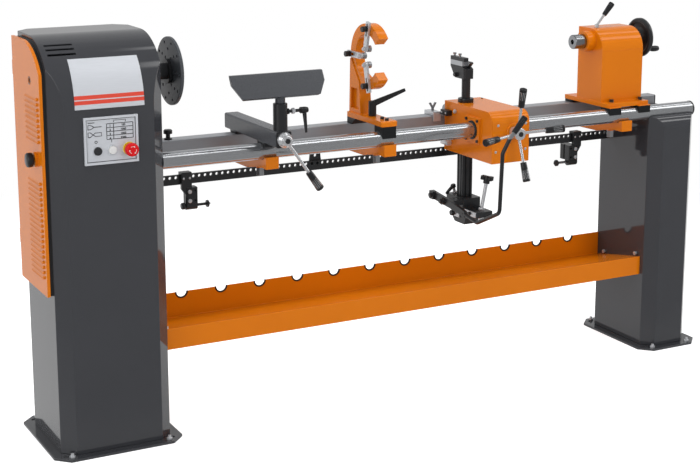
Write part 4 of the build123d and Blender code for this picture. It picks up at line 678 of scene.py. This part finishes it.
bpy.ops.object.mode_set(mode="EDIT")
bpy.ops.mesh.select_all(action="SELECT")
bpy.ops.mesh.remove_doubles(threshold=1e-5)
blade_front = Vector((0, -59, 34)).normalized()
blade_foot = Vector((0, -0.226, 1.049))
bpy.ops.mesh.bisect(plane_co=blade_foot + blade_front * 0.00005, plane_no=blade_front, use_fill=True,
                    clear_outer=True)
bpy.ops.object.mode_set(mode="OBJECT")
fit(blade, grey_iron, "rest_blade")
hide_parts("tool_rest")
break_edges(blade, 1.0)
dress("rest_lock_lever", black_plastic, 1.0)
lock_nut = turned("lock_nut", [(0, 6.0), (0, 8.6), (1, 9.4), (9, 9.4), (10, 8.6), (10, 6.0), (0, 6.0)], 6)
set_out(lock_nut, "rest_lock_nut", [((566, -208, 1000), right)], zinc, "rest_lock")
# The brightest metal here: pale and sharp, with clear dark and light reflections.
chrome = metal("chromed_steel", "#DDDEE0", 0.2, (2, 2, 2), 0.004, 0.75, 0.01)
dress("cam_lever", chrome, 0.8)


def fluted_grip(root, end, length):
    """A moulded grip over a lever's end: a plain collar, twelve flutes on its thick part, a dished end."""
    steps = [(-2, root * 0.75), (-2, root + 0.6)]
    steps += [(length * share, root + (end - root) * share + 1.3) for share in (0, 0.34, 0.4, 0.88, 0.94)]
    steps += [(length + 1.5, end + 0.6), (length + 2.6, end - 1.5), (length + 2.6, end * 0.6),
              (length + 0.5, end * 0.52), (length + 0.5, 0.3)]
    grip = turned("fluted_grip", steps, 24)

    def in_flute(out, along, turn):
        return round(turn / 15) % 2 == 1 and 0.39 * length < along < 0.89 * length

    pick(grip, in_flute)
    bpy.ops.transform.resize(value=(0.87, 0.87, 1), center_override=(0, 0, 0))
    bpy.ops.object.mode_set(mode="OBJECT")
    return grip


cam_hub, cam_way = Vector((528, -247, 918)), Vector((0.585, 0, -0.811))
cam_grip = [(cam_hub + 132 * cam_way, cam_way)]
cam_face = [((cam_hub.x, cam_hub.y - 14, cam_hub.z), front)]
set_out(fluted_grip(9, 11.8, 64), "cam_lever_grip", cam_grip, black_plastic, "rest_cam")
m12_screw = socket_screw(8, 3)
set_out(m12_screw, "cam_lever_screw", cam_face, black_iron, "rest_cam")

# Steady: an orange C-shaped casting on a foot with black shoes, clamped by a lever and a bar below.
# Three slotted steel fingers carry ball races on axle nuts. Knobs hold them, and screws the front shoe.
shoe_black, shoe_gloss = "#17181A", 0.45
steady_shoes = [((0, 0, 907.8), down)]
steady_finish = changed(orange, "orange_casting_on_shoes", steady_shoes, shoe_black, shoe_gloss)
dress("steady_frame", steady_finish, 0.6, whole_faces=False)
dress("steady_clamp_bar", clamp_finish("steady_clamp_bar"), 1.0)
dress("steady_lever", black_plastic, 1.5)
# Ground rings: grey and clear, with fine marks round them.
race = metal("bearing_race_steel", "#A5A8AC", 0.28, (0.6, 3, 3), 0.01, 0.75)
nut_and_axle = [(0, 7.4), (5.4, 7.4), (6.4, 6.6), (6.4, 4.2), (8.2, 4.0), (8.8, 3.4), (8.8, 0.3)]
nut = turned("axle_nut", nut_and_axle, 6)
for finger in ("top", "back", "low"):
    dress(finger + "_finger", zinc, 0.6)
    dress(finger + "_roller", race, 0.8)
    dress(finger + "_knob", black_plastic, 0.6)
    roller_low, roller_high = corners(finger + "_roller")
    finger_face = corners(finger + "_finger")[0].x
    axle = (finger_face, (roller_low.y + roller_high.y) / 2, (roller_low.z + roller_high.z) / 2)
    set_out(nut, finger + "_axle_nut", [(axle, left)], zinc, finger + "_arm")
shoe_screws = [((946, y, 925), up) for y in (-93, -124)]
set_out(m8_screw, "steady_shoe_screws", shoe_screws, black_iron, "steady")
lever_screw = [((946, -27, 975.4), up)]
set_out(small_screw, "steady_lever_screw", lever_screw, zinc, "steady_clamp")

# Copying carriage: an orange steel box on the tube, with a flange, a black bushing and a screwed cover with
# thin flanges. A roller runs on the rail, and a capstan with a chromed hub and fluted grips drives the box.
dress("carriage_box", orange, 1.5)
dress("tube_bushing", black_plastic, 0.5)
dress("guide_roller", race, 0.6)
dress("capstan", chrome, 0.8)
wing_height = 28.8
wing_foot = [((0, 0, corners("carriage_stop")[1].z - wing_height), up)]
stop_finish = changed(zinc, "zinc_block_with_steel_wing_screw", wing_foot, "#6E7074", 0.35)
dress("carriage_stop", stop_finish, 0.8)
capstan_low, capstan_high = corners("capstan")
hub = Vector(((capstan_low.x + capstan_high.x) / 2, -253, (capstan_low.z + capstan_high.z) / 2))
arm_lean = math.radians(15)
outward, forward = math.cos(arm_lean), math.sin(arm_lean)
arm_ends = []
for i in range(4):
    turn = math.radians(90 * i + 4)
    arm = Vector((math.cos(turn) * outward, -forward, math.sin(turn) * outward))
    arm_ends.append((hub + 98 * arm, arm))
capstan_grip = fluted_grip(9, 11.6, 60)
set_out(capstan_grip, "capstan_grips", arm_ends, black_plastic, "carriage_capstan")
hub_face = [((hub.x, hub.y - 18, hub.z), front)]
set_out(m12_screw, "capstan_screw", hub_face, black_iron, "carriage_capstan")
cover_front, cover_foot, cover_top = -227, 767, 937
cover_screw = slotted_screw(4.4, 2.6)
cover_corners = ((1306, 894), (1298, 806), (1414, 808), (1414, 894))
cover_places = [((x, cover_front, z), front) for x, z in cover_corners]
set_out(cover_screw, "carriage_cover_screws", cover_places, zinc, "carriage")
tube_low, tube_high = corners("front_bed_tube")
tube_axis = (tube_low + tube_high) / 2
m6_screw = socket_screw(5, 5)
flange_half = 34
flange_places = [((1276, tube_axis.y + y, tube_axis.z + z), left) for y in (-flange_half, flange_half)
                 for z in (-flange_half, flange_half)]
set_out(m6_screw, "flange_screws", flange_places, black_iron, "carriage")


def milled_block(name, low, high, edge):
    """A block between two corners in millimetres, its edges rounded all over."""
    bpy.ops.object.select_all(action="DESELECT")
    bpy.ops.mesh.primitive_cube_add(size=1, location=[(a + b) / 2000 for a, b in zip(low, high)])
    block = bpy.context.object
    block.name = name
    block.scale = [(b - a) / 1000 for a, b in zip(low, high)]
    bpy.ops.object.transform_apply(location=True, rotation=True, scale=True)
    bpy.ops.object.mode_set(mode="EDIT")
    bpy.ops.mesh.select_all(action="SELECT")
    bpy.ops.mesh.bevel(offset=edge / 1000, segments=2, affect="EDGES")
    bpy.ops.object.mode_set(mode="OBJECT")
    return block


wiper = milled_block("rail_wiper", (1264, 24, 890), (1284.3, 69, 909), 1.5)
fit(wiper, black_plastic, "carriage")
wiper_screws = [((1264, y, 899.5), left) for y in (34, 59)]
set_out(small_screw, "rail_wiper_screws", wiper_screws, zinc, "carriage")
set_out(nut, "carriage_side_bolt", [((1284, 2, 909), left)], zinc, "carriage")
top_screw = [((1418, 46, cover_top), up)]
set_out(small_screw, "carriage_top_screw", top_screw, black_iron, "carriage")
keeper = milled_block("rail_keeper", (1263, 24, 789), (1284.3, 66, 804), 2.0)
fit(keeper, zinc, "carriage")
top_bend, flange_width = 38, 40
bend_angles = [math.radians(t) for t in range(0, 91, 10)]
flange_outline = [(cover_front + flange_width, cover_foot), (cover_front, cover_foot)]
flange_outline += [(cover_front + top_bend * (1 - math.cos(t)), cover_top - top_bend * (1 - math.sin(t)))
                   for t in bend_angles]
flange_outline += [(cover_front + flange_width, cover_top)]
for name, from_x, to_x in (
    ("cover_left_flange", 1284.2, 1283.0),
    ("cover_right_flange", 1427.8, 1429.0),
):
    bpy.ops.object.select_all(action="DESELECT")
    bpy.ops.mesh.primitive_circle_add(vertices=len(flange_outline), fill_type="NGON")
    flange = bpy.context.object
    flange.name = name
    for point, (y, z) in zip(flange.data.vertices, flange_outline):
        point.co = (from_x / 1000, y / 1000, z / 1000)
    bpy.ops.object.mode_set(mode="EDIT")
    bpy.ops.mesh.select_all(action="SELECT")
    bpy.ops.mesh.extrude_region_move(TRANSFORM_OT_translate={"value": ((to_x - from_x) / 1000, 0, 0)})
    bpy.ops.mesh.select_all(action="SELECT")
    bpy.ops.mesh.normals_make_consistent(inside=False)
    bpy.ops.object.mode_set(mode="OBJECT")
    fit(flange, orange, "carriage")


def knurled_ring(inner, outer, low, high):
    """A plastic ring round a post, its rim cut into fine straight ribs for the fingers."""
    steps = [(low, inner), (low, outer - 1), (low + 1.5, outer), (high - 1.5, outer), (high, outer - 1),
             (high, inner), (low, inner)]
    ring = turned("knurled_ring", steps, 60)

    def in_groove(out, along, turn):
        return round(turn / 6) % 2 == 1 and out > outer - 0.5

    pick(ring, in_groove)
    bpy.ops.transform.resize(value=(0.96, 0.96, 1), center_override=(0, 0, 0))
    bpy.ops.object.mode_set(mode="OBJECT")
    return ring


post_low, post_high = corners("copy_post")
post_axis = (post_low + post_high) / 2
collar = knurled_ring(15.7, 26.6, 0.2, 14.6)
collar_place = [((post_axis.x, post_axis.y, cover_top), up)]
set_out(collar, "post_collar", collar_place, black_plastic, "carriage")

# Copying slide: a fluted black post through the carriage, with the tool head on top, its holder bright.
# The tracer block, arm and bent hand lever are at its foot, and a depth screw with a star knob.
bright_steel = "#B9BBBE"
dress("copy_post", black_iron, 0.8)
holder_edges = [((1324.1, 0, 0), left), ((0, 0, 1061.2), up), ((0, 0, 1077.2), down)]
holder = changed(black_iron, "black_head_with_bright_holder", holder_edges, bright_steel, 0.34, 1.0)
head_screws = [((0, 0, 1090.2), up)]
head = changed(holder, "black_head_with_bright_screws", head_screws, bright_steel, 0.3, 1.0)
dress("tool_head", head, 0.4)
dress("tracer_block", black_iron, 0.4)
lever_end = [((0, 0, 880), up)]
bare_lever = changed(black_iron, "black_lever_with_bright_end", lever_end, bright_steel, 0.28, 1.0)
dress("hand_lever", bare_lever, 1.0)
screw_way = Vector((0.19, 0, 0.982))
screw_foot = Vector((1330, -96, 572))
black_star = [(screw_foot + 99.5 * screw_way, screw_way)]
dress("depth_screw", changed(zinc, "zinc_screw_with_black_star", black_star, "#17181A", 0.42), 1.0)
lever_tip, lever_way = Vector((1309, -375, 944)), Vector((56, 0, 64)).normalized()
lever_grip = [(lever_tip - 60 * lever_way, lever_way)]
hand_grip = fluted_grip(7.9, 9.5, 60)
set_out(hand_grip, "hand_lever_grip", lever_grip, black_plastic, "copy_slide")
nut_ring = [(0, 7.3), (0, 10.4), (1, 11.2), (8, 11.2), (9, 10.4), (9, 7.3), (0, 7.3)]
adjusting_nut = turned("adjusting_nut", nut_ring, 6)
nut_places = [(screw_foot + along * screw_way, screw_way) for along in (6.6, -21)]
set_out(adjusting_nut, "depth_screw_nuts", nut_places, zinc, "copy_slide")
ear_plate = milled_block("tracer_ear_plate", (1291.6, -121, 561), (1295.3, -52, 579), 0.8)
fit(ear_plate, zinc, "copy_slide")
set_out(m8_screw, "tracer_ear_bolt", [((1291.6, -86, 570), left)], black_iron, "copy_slide")
side_plate = milled_block("tracer_side_plate", (1290.5, -18, 541), (1295.3, 33, 565), 0.8)
fit(side_plate, zinc, "copy_slide")
side_bolt = [((1290.5, 16, 552), left)]
set_out(socket_screw(9.5, 12), "tracer_side_bolt", side_bolt, black_iron, "copy_slide")
stud_foot, stud_way = Vector((1316, 50, 612)), Vector((-0.25, 0.05, 0.967))
stud = turned("lock_stud", [(-2, 9), (4.5, 9), (5.5, 8), (5.5, 5), (24, 5), (24, 0.3)], 24)
set_out(stud, "tracer_lock_stud", [(stud_foot, stud_way)], zinc, "copy_slide")
domed_hub = [(0, 5.5), (0, 8), (1.5, 9), (9, 9.2), (12.5, 7), (13.5, 3.5), (13.5, 0.3)]
lock_hub = turned("lock_hub", domed_hub, 24)
hub_place = [(stud_foot + 20 * stud_way, stud_way)]
set_out(lock_hub, "tracer_lock_hub", hub_place, black_plastic, "copy_slide")
handle = turned("lock_handle", [(0, 5.2), (8, 6), (34, 5), (37.5, 3.6), (38.5, 1.4), (38.5, 0.3)], 20)
handle_place = [(stud_foot + 27 * stud_way, (-0.62, 0.22, -0.753))]
set_out(handle, "tracer_lock_handle", handle_place, black_plastic, "copy_slide")

# Tailstock: an orange steel body welded to a plate on black shoes, screwed in front and clamped from below.
# A ground quill comes out of its boss. A bent lever locks it, and a dished handwheel with a crank feeds it.
tail_shoes = [((0, 0, 895.8), down)]
tail_finish = changed(orange, "orange_body_on_shoes", tail_shoes, shoe_black, shoe_gloss)
dress("tailstock_body", tail_finish, 0.6)
dress("tailstock_clamp_bar", clamp_finish("tailstock_clamp_bar"), 1.0)
dress("quill", metal("ground_quill_steel", "#A0A2A5", 0.24, (0.8, 6, 6), 0.01, 1.0, 0.008), 0.6)
dress("quill_lock_lever", chrome, 0.5)
screw_and_hub = [(1860, 8), (2004, 8), (2004, 18), (2005, 19), (2033, 24)]
dish_front = [(2038, 27), (2043, 34), (2044.5, 40), (2043, 52), (2037, 56), (2035, 58)]
wheel_rim = [(2034.5, 62), (2036, 67), (2040, 69.6), (2049, 69.6), (2053, 67), (2054, 62), (2053, 57)]
dish_back = [(2050, 54), (2048.5, 40), (2048, 25), (2051, 20), (2052, 18), (2052, 0.4)]
wheel = turned("dished_wheel", screw_and_hub + dish_front + wheel_rim + dish_back, 72)
wheel_axis = [((0, spindle_axis.y, spindle_axis.z), right)]
handwheel = set_out(wheel, "dished_handwheel", wheel_axis, black_iron, "tail_wheel")
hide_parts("handwheel")
crank_low, crank_high = corners("crank_handle")
crank_axis = [((0, (crank_low.y + crank_high.y) / 2, (crank_low.z + crank_high.z) / 2), right)]
pin = turned("crank_pin_pattern", [(2046, 4), (2092, 4), (2093, 3), (2093, 0.3)], 20)
set_out(pin, "crank_pin", crank_axis, zinc, "tail_wheel")
dress("crank_handle", black_plastic, 0.8)
crease_ends = (1826.5, 2002.5)
creases = [[(x, y, z) for x in crease_ends] for y, z in ((-88.0, 1090.0), (-77.6, 1128.0))]
fit(lines_piece("tailstock_bend_creases", creases, 1.4), orange, "tailstock")
plate_places = [((x, -101, 911), up) for x in (1863, 1988)]
plate_screw = socket_screw(7.6, 9.5)
set_out(plate_screw, "tailstock_plate_screws", plate_places, black_iron, "tailstock")
lock_foot, lock_way = Vector((1853, -15, 1173)), Vector((0.65, 0, 0.76))
lock_grip = [(lock_foot + 48 * lock_way, lock_way)]
set_out(fluted_grip(7, 9.5, 48), "quill_lock_grip", lock_grip, black_plastic, "quill_lock")
# Every pattern has been copied by now, and goes.
for pattern in patterns:
    bpy.data.objects.remove(pattern)
